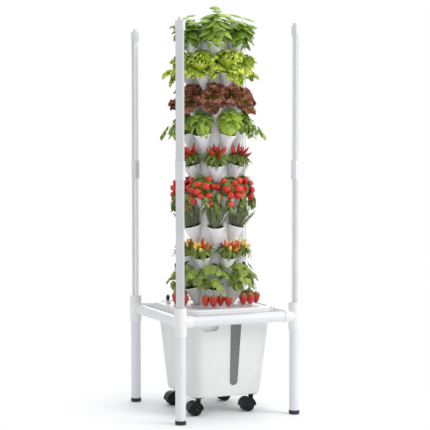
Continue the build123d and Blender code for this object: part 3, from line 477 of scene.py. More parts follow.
# %% Pot places
TIER_PITCH = 127.5
TOWER_BASE = 445.0
FRONT_POT_ANGLE = -108.5
POTS = 6
POT_REACH = 106.0
POT_RIM_HEIGHT = 80.0
POT_TILT = 17.0
SOIL_DROP = 3.6
(
    BASIL_TIER, GREEN_LETTUCE_TIER, RED_LETTUCE_TIER, HERB_TIER, RED_CHILLI_TIER,
    TOMATO_TIER, ROSEMARY_TIER, MIXED_CHILLI_TIER, STRAWBERRY_TIER,
) = range(1, TIER_COUNT + 1)


def tier_matrix(tier):
    turn = FRONT_POT_ANGLE + (0 if tier % 2 else 180 / POTS)
    lift = TOWER_BASE + (TIER_COUNT - tier) * TIER_PITCH
    return Matrix.Translation((0, 0, lift * MM)) @ Matrix.Rotation(math.radians(turn), 4, "Z")


def pot_turn(pot):
    return Matrix.Rotation(math.radians(360 / POTS * pot), 4, "Z")


POT_RIM = Matrix.Translation((POT_REACH * MM, 0, POT_RIM_HEIGHT * MM))
POT_LEAN = Matrix.Rotation(math.radians(POT_TILT), 4, "Y")
SOIL = POT_RIM @ POT_LEAN @ Matrix.Translation((0, 0, -SOIL_DROP * MM))

# %% Places that plants keep clear of
COLUMN_PLACE = (0.0, 0.0)
COLUMN_CLEAR = 85.0
FLOAT_PLACE = (188.0, 54.0)
FLOAT_CLEAR = 36.0
FLOAT_POT = 4


def clear_of(place, clearance, points):
    """True where every point, given in its plant's frame, is far enough from an upright line."""
    for point in points:
        placed = SOIL @ Vector(point)
        if math.hypot(placed.x - place[0] * MM, placed.y - place[1] * MM) < clearance * MM:
            return False
    return True


def clear_of_column(*points):
    return clear_of(COLUMN_PLACE, COLUMN_CLEAR, points)


def clear_of_float(*points):
    return clear_of(FLOAT_PLACE, FLOAT_CLEAR, points)


# %% [markdown]
# ## Modelling a leaf
#
# A leaf blade starts as a flat grid. Each row of its points is scaled to the blade's width there and moved
# up or down, so that the blade arches, and each column is moved so that it cups or folds. Solidify gives it
# a little thickness. The grid's own UV map stays with it, so that the veins follow the blade. A painted card
# would be less work, but its edge looks cut out, and it has no shape from the side.

# %% Leaf tools
LEAF_THICKNESS = 0.5
LINE_GRIP = 0.01


def begin():
    bpy.ops.object.select_all(action="DESELECT")


def pick(piece, test):
    """Selects the points of a piece in edit mode that pass a test of their place."""
    mesh = bmesh.from_edit_mesh(piece.data)
    for point in mesh.verts:
        point.select = test(point.co)
    mesh.select_flush_mode()
    bmesh.update_edit_mesh(piece.data)


def with_tone(piece):
    piece.data.attributes.new("tone", "FLOAT", "POINT")
    return piece


def leaf_blade(name, material, length, width, outline, arch, cup, columns=4, frill=0.0, frills=0.0):
    """A blade along +Y. The outline is its width at each row, from base to tip, as a share of the widest."""
    begin()
    rows = len(outline)
    bpy.ops.mesh.primitive_grid_add(x_subdivisions=columns, y_subdivisions=rows - 1, size=1)
    blade = bpy.context.object
    blade.name = name
    bpy.ops.object.mode_set(mode="EDIT")
    bpy.ops.mesh.select_mode(type="VERT")
    bpy.ops.mesh.select_all(action="SELECT")
    bpy.ops.transform.translate(value=(0, 0.5, 0))
    for column in range(columns + 1):
        across = column / columns - 0.5
        pick(blade, lambda co: abs(co.x - across) < LINE_GRIP)
        bpy.ops.transform.translate(value=(0, 0, cup * (2 * across) ** 2))
    for row, share in enumerate(outline):
        along = row / (rows - 1)
        pick(blade, lambda co: abs(co.y - along) < LINE_GRIP)
        bpy.ops.transform.resize(value=(share, 1, share), center_override=(0, along, 0))
        bpy.ops.transform.translate(value=(0, 0, -arch * along ** 2))
    bpy.ops.mesh.select_all(action="SELECT")
    bpy.ops.transform.resize(value=(width * MM, length * MM, length * MM), center_override=(0, 0, 0))
    bpy.ops.object.mode_set(mode="OBJECT")
    if frill:
        frill_edge(blade, length, width, frill, frills)
    thickness = blade.modifiers.new("thickness", "SOLIDIFY")
    thickness.thickness = LEAF_THICKNESS * MM
    thickness.offset = 0
    bpy.ops.object.modifier_apply(modifier="thickness")
    bpy.ops.object.shade_smooth()
    blade.data.materials.append(material)
    return with_tone(blade)


# %% Frills
FRILL_SLANT = 0.8
FRILL_LAG = 0.9
RIPPLE_HEIGHT = 0.45
RIPPLE_PACE = 2.3
FRILL_SWAY = 0.35


def frill_edge(blade, length, width, frill, frills):
    """Throws the blade's margin into waves that grow towards its edge and tip."""
    for point in blade.data.vertices:
        across = point.co.x / (width * MM / 2)
        along = point.co.y / (length * MM)
        edge = max(abs(across), along ** 3) ** 2 * min(1, 2 * along)
        phase = math.tau * frills * (along + FRILL_SLANT * abs(across)) + (FRILL_LAG if across > 0 else 0)
        rise = math.sin(phase) + RIPPLE_HEIGHT * math.sin(RIPPLE_PACE * phase + 1)
        point.co.z += frill * MM * edge * rise
        point.co.x += frill * MM * FRILL_SWAY * edge * math.cos(phase) * (1 if across > 0 else -1)


# %% Stems and fruit tools
def turned(name, material, profile, sides, smooth=True):
    """A round piece drawn up from a ring, with one extrusion for each step of its profile."""
    begin()
    radius, height = profile[0]
    bpy.ops.mesh.primitive_circle_add(vertices=sides, radius=radius * MM, fill_type="NGON")
    piece = bpy.context.object
    piece.name = name
    bpy.ops.object.mode_set(mode="EDIT")
    bpy.ops.mesh.select_mode(type="FACE")
    bpy.ops.mesh.select_all(action="SELECT")
    bpy.ops.transform.translate(value=(0, 0, height * MM))
    for next_radius, next_height in profile[1:]:
        rise = (0, 0, (next_height - height) * MM)
        bpy.ops.mesh.extrude_region_move(TRANSFORM_OT_translate={"value": rise})
        grow = next_radius / radius
        bpy.ops.transform.resize(value=(grow, grow, 1), center_override=(0, 0, next_height * MM))
        radius, height = next_radius, next_height
    bpy.ops.mesh.select_all(action="SELECT")
    bpy.ops.mesh.normals_make_consistent(inside=False)
    bpy.ops.object.mode_set(mode="OBJECT")
    if smooth:
        bpy.ops.object.shade_smooth()
    piece.data.materials.append(material)
    return with_tone(piece)


# %% Placing copies
UP = (0, 0, 1)
STALK_TONE = 0.4
NO_SIDE = 0.001


def placed_copy(master, matrix, tone=None):
    """A copy with its own mesh, its place in the mesh and its tone on every point."""
    copy = master.copy()
    copy.data = master.data.copy()
    copy.data.transform(matrix)
    if tone is not None:
        copy.data.attributes["tone"].data.foreach_set("value", [tone] * len(copy.data.vertices))
    bpy.context.collection.objects.link(copy)
    return copy


def joined(name, copies):
    begin()
    for copy in copies:
        copy.select_set(True)
    bpy.context.view_layer.objects.active = copies[0]
    if len(copies) > 1:
        bpy.ops.object.join()
    piece = bpy.context.object
    piece.name = name
    piece.data.name = name
    return piece


def heading(turn, rise=0.0):
    """The way out from the Z axis at an angle, with a rise for each unit out."""
    return Vector((math.cos(turn), math.sin(turn), rise))


def leaning(out, tip):
    """The way of an upright piece that leans out by an angle."""
    return out * math.sin(tip) + Vector((0, 0, math.cos(tip)))


def facing(base, ahead, up, size):
    """A matrix that puts a blade's base at a point, its tip ahead and its upper face towards up."""
    along = Vector(ahead).normalized()
    side = along.cross(Vector(up))
    if side.length < NO_SIDE:
        side = along.cross(Vector((1, 0, 0)))
    side.normalize()
    over = side.cross(along)
    turn = Matrix((side, along, over)).transposed().to_4x4()
    return Matrix.Translation(base) @ turn @ Matrix.Scale(size, 4)


def standing(foot, way):
    """A matrix that stands an upright piece on a point and leans it along a way."""
    return Matrix.Translation(foot) @ way.to_track_quat("Z", "Y").to_matrix().to_4x4()


def stalk(master, foot, head):
    """A copy of an upright stem of length 1 set between two points."""
    way = Vector(head) - Vector(foot)
    return placed_copy(master, standing(foot, way) @ Matrix.Diagonal((1, 1, way.length, 1)), STALK_TONE)


# %% [markdown]
# ## Leaf and fruit finishes
#
# A leaf goes from a dark to a light green with its tone, its veins are paler, and the blade swells between
# them. One flat green would make a plant look like plastic. A fruit is glossy, with a tone for how ripe it
# is, and a strawberry has small pale seeds.

# %% Leaf materials
LEAF_MOTTLE = 0.35
SWELL_HEIGHT = 0.0015
HEART_FADE = (0.35, 0.85)


def leaf_finish(name, dark, light, vein, rough, veins, slant=2.4, vein_share=0.45, heart=None, swell=0.5):
    material, tree, bsdf = start_material(name)
    tone = use_group(tree, TONE, Mottle=LEAF_MOTTLE)
    drawn = use_group(tree, VEINS, Veins=veins, Slant=slant)
    blade = mix_colour(tree, tone.outputs["Tone"], dark, light)
    if heart:
        inner = ranged(tree, tone.outputs["Along"], *HEART_FADE, 1.0, 0.0)
        blade = mix_colour(tree, inner, blade, heart)
    share = maths(tree, "MULTIPLY", drawn.outputs["Veins"], vein_share)
    tree.links.new(mix_colour(tree, share, blade, vein), bsdf.inputs["Base Color"])
    bsdf.inputs["Roughness"].default_value = rough
    bump(tree, bsdf, drawn.outputs["Blister"], swell, SWELL_HEIGHT)
    return material


basil_green = leaf_finish(
    "basil_leaf", (0.115, 0.235, 0.012), (0.39, 0.55, 0.065), (0.46, 0.6, 0.15),
    rough=0.36, veins=5, slant=1.6, vein_share=0.3,
)
lettuce_green = leaf_finish(
    "green_lettuce_leaf", (0.36, 0.56, 0.016), (0.84, 0.94, 0.14), (0.86, 0.92, 0.4), rough=0.45, veins=6
)
lettuce_red = leaf_finish(
    "red_lettuce_leaf", (0.17, 0.04, 0.028), (0.58, 0.21, 0.12), (0.6, 0.34, 0.22),
    rough=0.45, veins=6, heart=(0.52, 0.54, 0.08),
)
mint_green = leaf_finish(
    "herb_leaf_dark", (0.11, 0.225, 0.012), (0.37, 0.53, 0.055), (0.44, 0.58, 0.12),
    rough=0.5, veins=8, slant=2.0,
)
celery_green = leaf_finish(
    "herb_leaf_light", (0.25, 0.42, 0.018), (0.57, 0.72, 0.1), (0.66, 0.78, 0.24), rough=0.5, veins=5
)
chilli_green = leaf_finish(
    "chilli_leaf", (0.08, 0.14, 0.014), (0.32, 0.4, 0.065), (0.36, 0.46, 0.14),
    rough=0.42, veins=7, slant=1.6,
)
tomato_green = leaf_finish(
    "tomato_leaf", (0.075, 0.15, 0.02), (0.27, 0.38, 0.08), (0.36, 0.46, 0.14), rough=0.52, veins=6
)
rosemary_green = leaf_finish(
    "rosemary_needle", (0.17, 0.22, 0.1), (0.52, 0.57, 0.34), (0.58, 0.62, 0.44), rough=0.6, veins=1
)
strawberry_green = leaf_finish(
    "strawberry_leaf", (0.085, 0.165, 0.014), (0.35, 0.45, 0.065), (0.46, 0.55, 0.15),
    rough=0.48, veins=8, slant=1.4,
)
stem_green = leaf_finish(
    "stem_green", (0.12, 0.26, 0.04), (0.3, 0.46, 0.12), (0.3, 0.46, 0.12), rough=0.5, veins=1, swell=0.1
)
stem_woody = leaf_finish(
    "stem_woody", (0.09, 0.07, 0.035), (0.2, 0.2, 0.09), (0.2, 0.2, 0.09), rough=0.7, veins=1, swell=0.1
)

# %% Fruit materials
FRUIT_MOTTLE = 0.12
FRUIT_COAT = 0.12
SEED_EDGES = (0.16, 0.24)
SEED_COLOUR = (0.8, 0.5, 0.12)
SEED_STRENGTH = 0.7
SEED_HEIGHT = 0.0008


def fruit_finish(name, steps, rough=0.18, seeds=None):
    """Steps are pairs of a tone and a colour. Seeds, if any, are small pale dots on the skin."""
    material, tree, bsdf = start_material(name)
    tone = use_group(tree, TONE, Mottle=FRUIT_MOTTLE)
    ramp = tree.nodes.new("ShaderNodeValToRGB")
    elements = ramp.color_ramp.elements
    while len(elements) < len(steps):
        elements.new(1.0)
    for element, (place, colour) in zip(elements, steps):
        element.position = place
        element.color = (*colour, 1)
    tree.links.new(tone.outputs["Tone"], ramp.inputs["Fac"])
    skin = ramp.outputs["Color"]
    if seeds:
        cells = tree.nodes.new("ShaderNodeTexVoronoi")
        cells.inputs["Scale"].default_value = seeds
        tree.links.new(object_place(tree), cells.inputs["Vector"])
        dots = ranged(tree, cells.outputs["Distance"], *SEED_EDGES, 1.0, 0.0)
        skin = mix_colour(tree, dots, skin, SEED_COLOUR)
        bump(tree, bsdf, dots, SEED_STRENGTH, SEED_HEIGHT)
    tree.links.new(skin, bsdf.inputs["Base Color"])
    bsdf.inputs["Roughness"].default_value = rough
    bsdf.inputs["Coat Weight"].default_value = FRUIT_COAT
    return material


chilli_red = fruit_finish("chilli_red", [(0.0, (0.36, 0.004, 0.003)), (1.0, (0.68, 0.014, 0.006))])
chilli_mixed = fruit_finish(
    "chilli_mixed",
    [
        (0.0, (0.12, 0.025, 0.09)),
        (0.08, (0.12, 0.025, 0.09)),
        (0.14, (0.62, 0.02, 0.012)),
        (0.28, (0.66, 0.03, 0.012)),
        (0.34, (0.9, 0.2, 0.012)),
        (0.54, (0.92, 0.27, 0.015)),
        (0.62, (0.92, 0.56, 0.03)),
        (0.9, (0.9, 0.68, 0.2)),
    ],
)
tomato_red = fruit_finish(
    "tomato_red", [(0.0, (0.8, 0.07, 0.008)), (0.3, (0.7, 0.022, 0.005)), (1.0, (0.54, 0.008, 0.004))]
)
berry_red = fruit_finish(
    "strawberry_red", [(0.0, (0.42, 0.008, 0.006)), (1.0, (0.6, 0.02, 0.012))], rough=0.3, seeds=200
)
print("leaves and fruit have their finishes")

# %% [markdown]
# ## One of each leaf and fruit
#
# Each kind of leaf, stem and fruit is modelled once, in millimetres, and copied from then on. A leaf's
# outline is a short list of widths. A fruit's profile is a list of a radius and a height for each ring.

# %% Leaf masters
OVAL = (0.06, 0.62, 0.95, 1.0, 0.82, 0.46, 0.06)
NARROW = (0.1, 0.6, 0.95, 1.0, 0.7, 0.32, 0.04)
SPOON = (0.24, 0.28, 0.33, 0.4, 0.49, 0.59, 0.69, 0.79, 0.88, 0.95, 1.0, 0.99, 0.92, 0.74, 0.42)
ROUND = (0.18, 0.78, 0.98, 1.0, 0.92, 0.6)
LOBED = (0.12, 0.9, 0.66, 1.0, 0.62, 0.72, 0.3, 0.06)
BLUNT = (0.6, 1.0, 0.3)
POINTED = (0.5, 1.0, 0.1)

basil_leaf = leaf_blade("basil_leaf", basil_green, 72, 52, OVAL, arch=0.46, cup=-0.16)
lettuce_leaf = leaf_blade(
    "lettuce_leaf", lettuce_green, 82, 58, SPOON, arch=0.42, cup=0.05, columns=10, frill=12, frills=4.4
)
lettuce_heart = leaf_blade(
    "lettuce_heart_leaf", lettuce_green, 84, 54, SPOON, arch=0.1, cup=0.16, columns=10, frill=13, frills=4.2
)
red_leaf = leaf_blade(
    "red_lettuce_leaf", lettuce_red, 78, 56, SPOON, arch=0.42, cup=0.05, columns=10, frill=12, frills=4.8
)
red_heart = leaf_blade(
    "red_lettuce_heart_leaf", lettuce_red, 78, 52, SPOON, arch=0.1, cup=0.16, columns=10, frill=13, frills=4.6
)
mint_leaf = leaf_blade("mint_leaf", mint_green, 42, 29, OVAL, arch=0.3, cup=-0.08)
celery_leaf = leaf_blade(
    "celery_leaf", celery_green, 50, 42, OVAL, arch=0.3, cup=-0.05, columns=6, frill=3, frills=2.5
)
chilli_leaf = leaf_blade("chilli_leaf", chilli_green, 58, 15, NARROW, arch=0.42, cup=0.06)
tomato_leaf = leaf_blade(
    "tomato_leaf", tomato_green, 42, 27, LOBED, arch=0.32, cup=0.06, frill=2.0, frills=2.0
)
strawberry_leaf = leaf_blade(
    "strawberry_leaf", strawberry_green, 46, 44, ROUND, arch=0.14, cup=0.08, columns=6, frill=1.4, frills=4.0
)
needle = leaf_blade("rosemary_needle", rosemary_green, 15, 2.6, BLUNT, arch=0.05, cup=0.0, columns=2)
sepal = leaf_blade("sepal", stem_green, 11, 3.6, POINTED, arch=0.15, cup=0.0, columns=2)

# %% Stem and fruit masters
stem = turned("stem", stem_green, [(1.5, 0), (1.2, 500), (0.8, 1000)], sides=6)
twig = turned("twig", stem_woody, [(1.3, 0), (1.0, 500), (0.6, 1000)], sides=5)
chilli = turned(
    "chilli",
    chilli_red,
    [(1.5, 0), (4.8, 1.5), (5.6, 6), (5.0, 14), (3.8, 23), (2.1, 31), (0.5, 37)],
    sides=10,
)
mixed_chilli = turned(
    "mixed_chilli",
    chilli_mixed,
    [(1.5, 0), (5.4, 1.5), (6.4, 6), (5.6, 13), (4.0, 21), (2.0, 28), (0.5, 33)],
    sides=10,
)
tomato = turned(
    "tomato",
    tomato_red,
    [(2, -13.6), (8.4, -11), (12.8, -5.5), (14.4, 0.5), (13.2, 6.2), (9.2, 10.8), (4, 12.8), (1, 12.2)],
    sides=14,
)
berry = turned(
    "berry",
    berry_red,
    [(1.5, -36), (6, -33), (10.2, -25), (13.4, -15), (14.6, -8), (12.8, -2.4), (7.4, -0.2), (2, -1)],
    sides=12,
)
crumb = turned("crumb", medium, [(1.2, -1.4), (2.4, -0.4), (2.2, 0.9), (1.0, 1.8)], sides=6, smooth=False)
MASTERS = [
    basil_leaf, lettuce_leaf, lettuce_heart, red_leaf, red_heart, mint_leaf, celery_leaf, chilli_leaf,
    tomato_leaf, strawberry_leaf, needle, sepal, stem, twig, chilli, mixed_chilli, tomato, berry, crumb,
]
print("made", len(MASTERS), "masters for leaves and fruit")

# %% [markdown]
# ## Plants
#
# Bushy herbs carry their leaves on a dome, each leaf growing out and bending down. A lettuce is a spiral of
# leaves that stand steeper towards the heart. The golden angle between one leaf and the next spreads them
# evenly. A fixed seed gives each plant its own turn and sizes, the same each time the script runs. A leaf
# that would grow into the column is left out, or stands steeper.

# %% Dome of leaves
GOLDEN_TURN = 137.508
DOME_WOBBLE = 0.12
DOME_TWIST = 18
DOME_DEPTH = (0.78, 1.0)
DOME_SWAY = 0.25
DOME_LIFT = (-0.15, 0.3)
DOME_PUSH = 1.35
DOME_INSET = 0.7
STEM_SINK = 1.5
STEM_TWIST = 20


def dome_leaves(chance, blade, count, middle, spread, tall, lowest, droop, size):
    """Leaves over a dome of a given spread and height about a middle height, in the plant's frame."""
    leaves = []
    length = blade.dimensions.y
    for number in range(count):
        share = (number + 0.5) / count
        polar = math.acos(1 - share * (1 - math.cos(math.radians(lowest))))
        polar += chance.uniform(-DOME_WOBBLE, DOME_WOBBLE)
        out = heading(math.radians(number * GOLDEN_TURN + chance.uniform(-DOME_TWIST, DOME_TWIST)))
        normal = (out * math.sin(polar) + Vector((0, 0, math.cos(polar)))).normalized()
        down = (out * math.cos(polar) - Vector((0, 0, math.sin(polar)))).normalized()
        depth = chance.uniform(*DOME_DEPTH)
        height = (middle + tall * math.cos(polar) * depth) * MM
        point = out * (spread * MM * math.sin(polar) * depth) + Vector((0, 0, height))
        sway_x = chance.uniform(-DOME_SWAY, DOME_SWAY)
        sway_y = chance.uniform(-DOME_SWAY, DOME_SWAY)
        sway = Vector((sway_x, sway_y, chance.uniform(*DOME_LIFT)))
        ahead = (normal * (DOME_PUSH - droop) + down * droop + sway).normalized()
        scale = chance.uniform(*size)
        base = point - ahead * (length * scale * DOME_INSET)
        if not clear_of_column(base, base + ahead * length * scale, point):
            continue
        leaves.append(placed_copy(blade, facing(base, ahead, normal, scale), chance.random()))
    return leaves


def branch_stems(chance, count, root, middle, spread):
    """Stems from the soil up into the dome."""
    stems = []
    for number in range(count):
        turn = math.radians(360 / count * number + chance.uniform(-STEM_TWIST, STEM_TWIST))
        foot = (root * math.cos(turn) * MM, root * math.sin(turn) * MM, -STEM_SINK * MM)
        head = (spread * math.cos(turn) * MM, spread * math.sin(turn) * MM, middle * MM)
        if clear_of_column(head):
            stems.append(stalk(stem, foot, head))
    return stems


# %% Rosette of leaves
INNER_CLIMB = 84
HEART_CLIMB = 44
STEEPEST_CLIMB = 100
CLIMB_STEP = 5
CLIMB_WOBBLE = 9
ROSETTE_TWIST = 12
ROSETTE_ROLL = 0.5
ROSETTE_SIZES = (0.66, 1.1)
ROSETTE_ROOT = 6
LEAF_BEND = 0.6


def rosette(chance, outer, heart, count, low, size):
    """Frilled leaves from the soil in a spiral, from the low outer ones to the upright heart."""
    leaves = []
    for number in range(count):
        share = (number + 0.5) / count
        climb = low + (INNER_CLIMB - low) * share + chance.uniform(-CLIMB_WOBBLE, CLIMB_WOBBLE)
        blade = heart if climb > HEART_CLIMB else outer
        length = blade.dimensions.y
        out = heading(math.radians(number * GOLDEN_TURN + chance.uniform(-ROSETTE_TWIST, ROSETTE_TWIST)))
        aside = Vector((-out.y, out.x, 0))
        scale = size * chance.uniform(*ROSETTE_SIZES)
        base = out * (ROSETTE_ROOT * MM)
        while climb < STEEPEST_CLIMB:
            way = math.radians(climb)
            ahead = out * math.cos(way) + Vector((0, 0, math.sin(way)))
            if clear_of_column(base + ahead * length * scale, base + ahead * length * scale * LEAF_BEND):
                break
            climb += CLIMB_STEP
        roll = aside * chance.uniform(-ROSETTE_ROLL, ROSETTE_ROLL)
        upper = Vector((0, 0, math.cos(way))) - out * math.sin(way) + roll
        leaves.append(placed_copy(blade, facing(base, ahead, upper, scale), chance.random()))
    return leaves


# %% Trailing branch
TRAIL_ROOT = 20
TRAIL_DROP = (-18, 12)
TRAIL_SWING = 55
TRAIL_TWIST = 20
TRAIL_DIP = -0.5
TRAIL_DIP_CHANGE = (-0.2, 0.3)
TRAIL_SIZES = (0.6, 0.95)


def trail(chance, blade, side, knee, end, count):
    """A branch that leaves the pot at an angle, bends at a knee and ends lower, with leaves on both sides."""
    out = heading(math.radians(side)) * MM
    bend = out * knee[0] + Vector((0, 0, knee[1] * MM))
    tip = out * end[0] + Vector((0, 0, (end[1] + chance.uniform(*TRAIL_DROP)) * MM))
    leaves = [stalk(stem, (0, 0, TRAIL_ROOT * MM), bend), stalk(stem, bend, tip)]
    for step in range(count):
        point = bend.lerp(tip, step / (count - 1))
        swing = side + (TRAIL_SWING if step % 2 else -TRAIL_SWING) + chance.uniform(-TRAIL_TWIST, TRAIL_TWIST)
        ahead = heading(math.radians(swing), TRAIL_DIP + chance.uniform(*TRAIL_DIP_CHANGE))
        matrix = facing(point, ahead, UP, chance.uniform(*TRAIL_SIZES))
        leaves.append(placed_copy(blade, matrix, chance.random()))
    return leaves


# %% Plants in their pots
def set_in_pots(name, tier, plants, order=range(POTS)):
    """Copies of some plants in a tier's pots, joined. The order says which plant goes in which pot."""
    copies = []
    for pot, choice in enumerate(order):
        plant = plants[choice % len(plants)]
        copies.append(placed_copy(plant, tier_matrix(tier) @ pot_turn(pot) @ SOIL))
    return joined(name, copies)


def finished(piece, node, slot, *old):
    """Attaches a finished piece to the trolley body, hides the node that it stands for, and clears its
    plants. The slot is not used.
    """
    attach(piece, "trolley")
    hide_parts(node)
    for plant in old:
        bpy.data.objects.remove(plant)
    print(piece.name, len(piece.data.polygons), "faces")


# %% [markdown]
# ## Basil
#
# A basil plant is a few stems with pairs of leaves, each pair across the one below it. The low pairs hang
# and the top pair stands up. A dome of leaves would lose those steps, so each stem is built pair by pair.
# Three plants of different heights are shared out among the six pots.

# %% Basil plants
# Each pair of leaves: its place up the stem, its size and how steeply it rises
BASIL_PAIRS = (
    (0.34, 0.75, -0.7),
    (0.54, 0.95, -0.45),
    (0.72, 1.0, -0.2),
    (0.87, 0.95, 0.1),
    (1.0, 0.8, 0.45),
)
BASIL_PLANTS = ((11, 140), (12, 114), (13, 106))
BASIL_ORDER = (0, 1, 2, 1, 2, 1)
OUTER_STEMS = 5
STEM_SPREAD = 24
STEM_ROOTS = 0.4
OUTER_HEIGHTS = (0.64, 0.9)
TIP_ROOM = 10
BASIL_TWIST = 15
BASIL_SWING = 18
BASIL_RISE_CHANGE = 0.12
BASIL_SIZES = (0.85, 1.1)


def basil_bush(chance, tall):
    """Outer stems round a taller one in the middle."""
    leaves = []
    for number in range(OUTER_STEMS + 1):
        middle = number == OUTER_STEMS
        turn = math.radians(number * 360 / OUTER_STEMS + chance.uniform(-BASIL_TWIST, BASIL_TWIST))
        spread = 0 if middle else STEM_SPREAD
        height = tall if middle else tall * chance.uniform(*OUTER_HEIGHTS)
        root = spread * STEM_ROOTS
        foot = Vector((root * math.cos(turn), root * math.sin(turn), -STEM_SINK)) * MM
        head = Vector((spread * math.cos(turn), spread * math.sin(turn), height - TIP_ROOM)) * MM
        leaves.append(stalk(stem, foot, head))
        for step, (level, size, rise) in enumerate(BASIL_PAIRS):
            point = foot.lerp(head, level)
            for opposite in (0, 180):
                swing = opposite + 90 * (step % 2) + chance.uniform(-BASIL_SWING, BASIL_SWING)
                rise += chance.uniform(-BASIL_RISE_CHANGE, BASIL_RISE_CHANGE)
                ahead = heading(turn + math.radians(swing), rise)
                scale = size * chance.uniform(*BASIL_SIZES)
                tip = point + ahead.normalized() * basil_leaf.dimensions.y * scale
                if clear_of_column(point, tip):
                    matrix = facing(point, ahead, UP, scale)
                    leaves.append(placed_copy(basil_leaf, matrix, chance.random()))
    return joined("basil", leaves)


basils = [basil_bush(random.Random(seed), tall) for seed, tall in BASIL_PLANTS]
basil_tier = set_in_pots("basil_foliage", BASIL_TIER, basils, BASIL_ORDER)
finished(basil_tier, "basil_plants", "basil_leaf", *basils)

# %% [markdown]
# ## Lettuces
#
# A head of loose lettuce is all frilled edges. Two heads are grown as rosettes for each colour, with flat
# arched leaves outside and cupped ones in the heart. The red one stays green near its root.

# %% Lettuce plants
LETTUCE_LEAVES = 38


def lettuce_tier(name, tier, outer, heart, seeds, low, size):
    heads = []
    for seed in seeds:
        leaves = rosette(random.Random(seed), outer, heart, LETTUCE_LEAVES, low, size)
        heads.append(joined(name, leaves))
    finished(set_in_pots(name + "_foliage", tier, heads), name + "_plants", name + "_leaf", *heads)


lettuce_tier("green_lettuce", GREEN_LETTUCE_TIER, lettuce_leaf, lettuce_heart, (21, 22), low=12, size=1.06)
lettuce_tier("red_lettuce", RED_LETTUCE_TIER, red_leaf, red_heart, (31, 32), low=10, size=1.02)

# %% [markdown]
# ## Mixed herbs
#
# One tier mixes dark and light herbs. Both are domes of small leaves, and one of the three plants also has
# branches that trail out past the pot.

# %% Herb plants
# Each plant: its seed, its leaf, how many leaves, and the sides to which it trails
HERB_PLANTS = (
    (41, mint_leaf, 72, ()),
    (42, mint_leaf, 66, (-50, -5, 45)),
    (43, celery_leaf, 54, ()),
)
HERB_ORDER = (2, 1, 0, 1, 1, 0)

herbs = []
for seed, blade, count, trails in HERB_PLANTS:
    chance = random.Random(seed)
    leaves = dome_leaves(
        chance, blade, count, middle=46, spread=55, tall=68, lowest=126, droop=0.66, size=(0.75, 1.25)
    )
    leaves += branch_stems(chance, count=8, root=9, middle=60, spread=28)
    for side in trails:
        leaves += trail(chance, mint_leaf, side, knee=(72, 58), end=(100, 34), count=5)
    herbs.append(joined("herb", leaves))
finished(set_in_pots("herb_foliage", HERB_TIER, herbs, HERB_ORDER), "herb_plants", "herb_leaf", *herbs)

# %% [markdown]
# ## Chillies
#
# Two tiers carry upright chillies: red ones, and lower down a mix of yellow, orange, red and purple. The
# fruit stands in a fan above a collar of narrow leaves. Foliage and fruit are separate pieces of one plant.

# %% Chilli plants
CHILLI_LEAVES = 58
CHILLI_REACH = 0.036
CHILLI_SIZES = (0.8, 1.1)
CHILLI_PLUMP = 1.3
CHILLI_LEAN_CHANGE = 5
FAN_RING = (4, 24)
FAN_FALL = 16
# Heights in the plant, as shares of its own height
BUSH_MIDDLE = 0.44
BUSH_TALL = 0.5
FORK_HEIGHT = 0.4
STEM_TOP = 0.62
FAN_HEIGHT = 0.78


def chilli_plants(name, tier, node, slot, fruit, seeds, lean, fruit_count, height):
    bushes, fruits = [], []
    for seed in seeds:
        chance = random.Random(seed)
        leaves = dome_leaves(
            chance, chilli_leaf, CHILLI_LEAVES, middle=height * BUSH_MIDDLE, spread=56,
            tall=height * BUSH_TALL, lowest=118, droop=0.45, size=(0.75, 1.25),
        )
        leaves += branch_stems(chance, count=5, root=6, middle=height * STEM_TOP, spread=16)
        pods = []
        for number in range(fruit_count):
            share = (number + 0.5) / fruit_count
            out = heading(math.radians(number * GOLDEN_TURN))
            change = chance.uniform(-CHILLI_LEAN_CHANGE, CHILLI_LEAN_CHANGE)
            tip = math.radians(lean * math.sqrt(share) + change)
            ring = FAN_RING[0] + FAN_RING[1] * math.sqrt(share)
            foot = out * ring * MM + Vector((0, 0, (height * FAN_HEIGHT - FAN_FALL * share) * MM))
            way = leaning(out, tip)
            if not clear_of_column(foot + way * CHILLI_REACH):
                continue
            long = chance.uniform(*CHILLI_SIZES)
            scale = Matrix.Diagonal((long * CHILLI_PLUMP, long * CHILLI_PLUMP, long, 1))
            pods.append(placed_copy(fruit, standing(foot, way) @ scale, chance.random()))
            leaves.append(stalk(stem, (0, 0, height * FORK_HEIGHT * MM), foot))
        bushes.append(joined("chilli_bush", leaves))
        fruits.append(joined("chilli_fan", pods))
    finished(set_in_pots(name + "_foliage", tier, bushes), node, slot, *bushes)
    finished(set_in_pots(name + "_fruit", tier, fruits), node, slot, *fruits)


chilli_plants(
    "red_chilli", RED_CHILLI_TIER, "red_chilli_plants", "red_chilli_plant", chilli, (51, 52),
    lean=44, fruit_count=9, height=74,
)
chilli_plants(
    "mixed_chilli", MIXED_CHILLI_TIER, "mixed_chilli_plants", "mixed_chilli_plant", mixed_chilli, (81, 82),
    lean=50, fruit_count=10, height=64,
)

# %% [markdown]
# ## Tomatoes
#
# Cherry tomatoes hang in clusters round the front of each pot, on a bush of lobed leaves. Places for the
# fruit go round the bush in rings, and a fruit whose middle would be too near another's is left out. Each
# has a star of sepals where its stalk joins. Some branches trail down past the pot's rim.

# %% Tomato plants
# Each ring of fruit: its height, its radius and the sides at which fruit may hang
TOMATO_RINGS = (
    (68, 35, (-90, -45, 0, 45, 90)),
    (46, 51, (-105, -70, -35, 0, 35, 70, 105)),
    (24, 58, (-95, -62, -28, 6, 40, 74)),
    (2, 58, (-70, -36, 18, 52)),
    (-12, 66, (66, -20)),
    (-32, 74, (58,)),
)
TOMATO_LEAVES = 70
TOMATO_APART = 25.0
TOMATO_SIZES = (0.94, 1.16)
TOMATO_CREST = 0.0124
TOMATO_TURN = 15
TOMATO_LIFT = 11


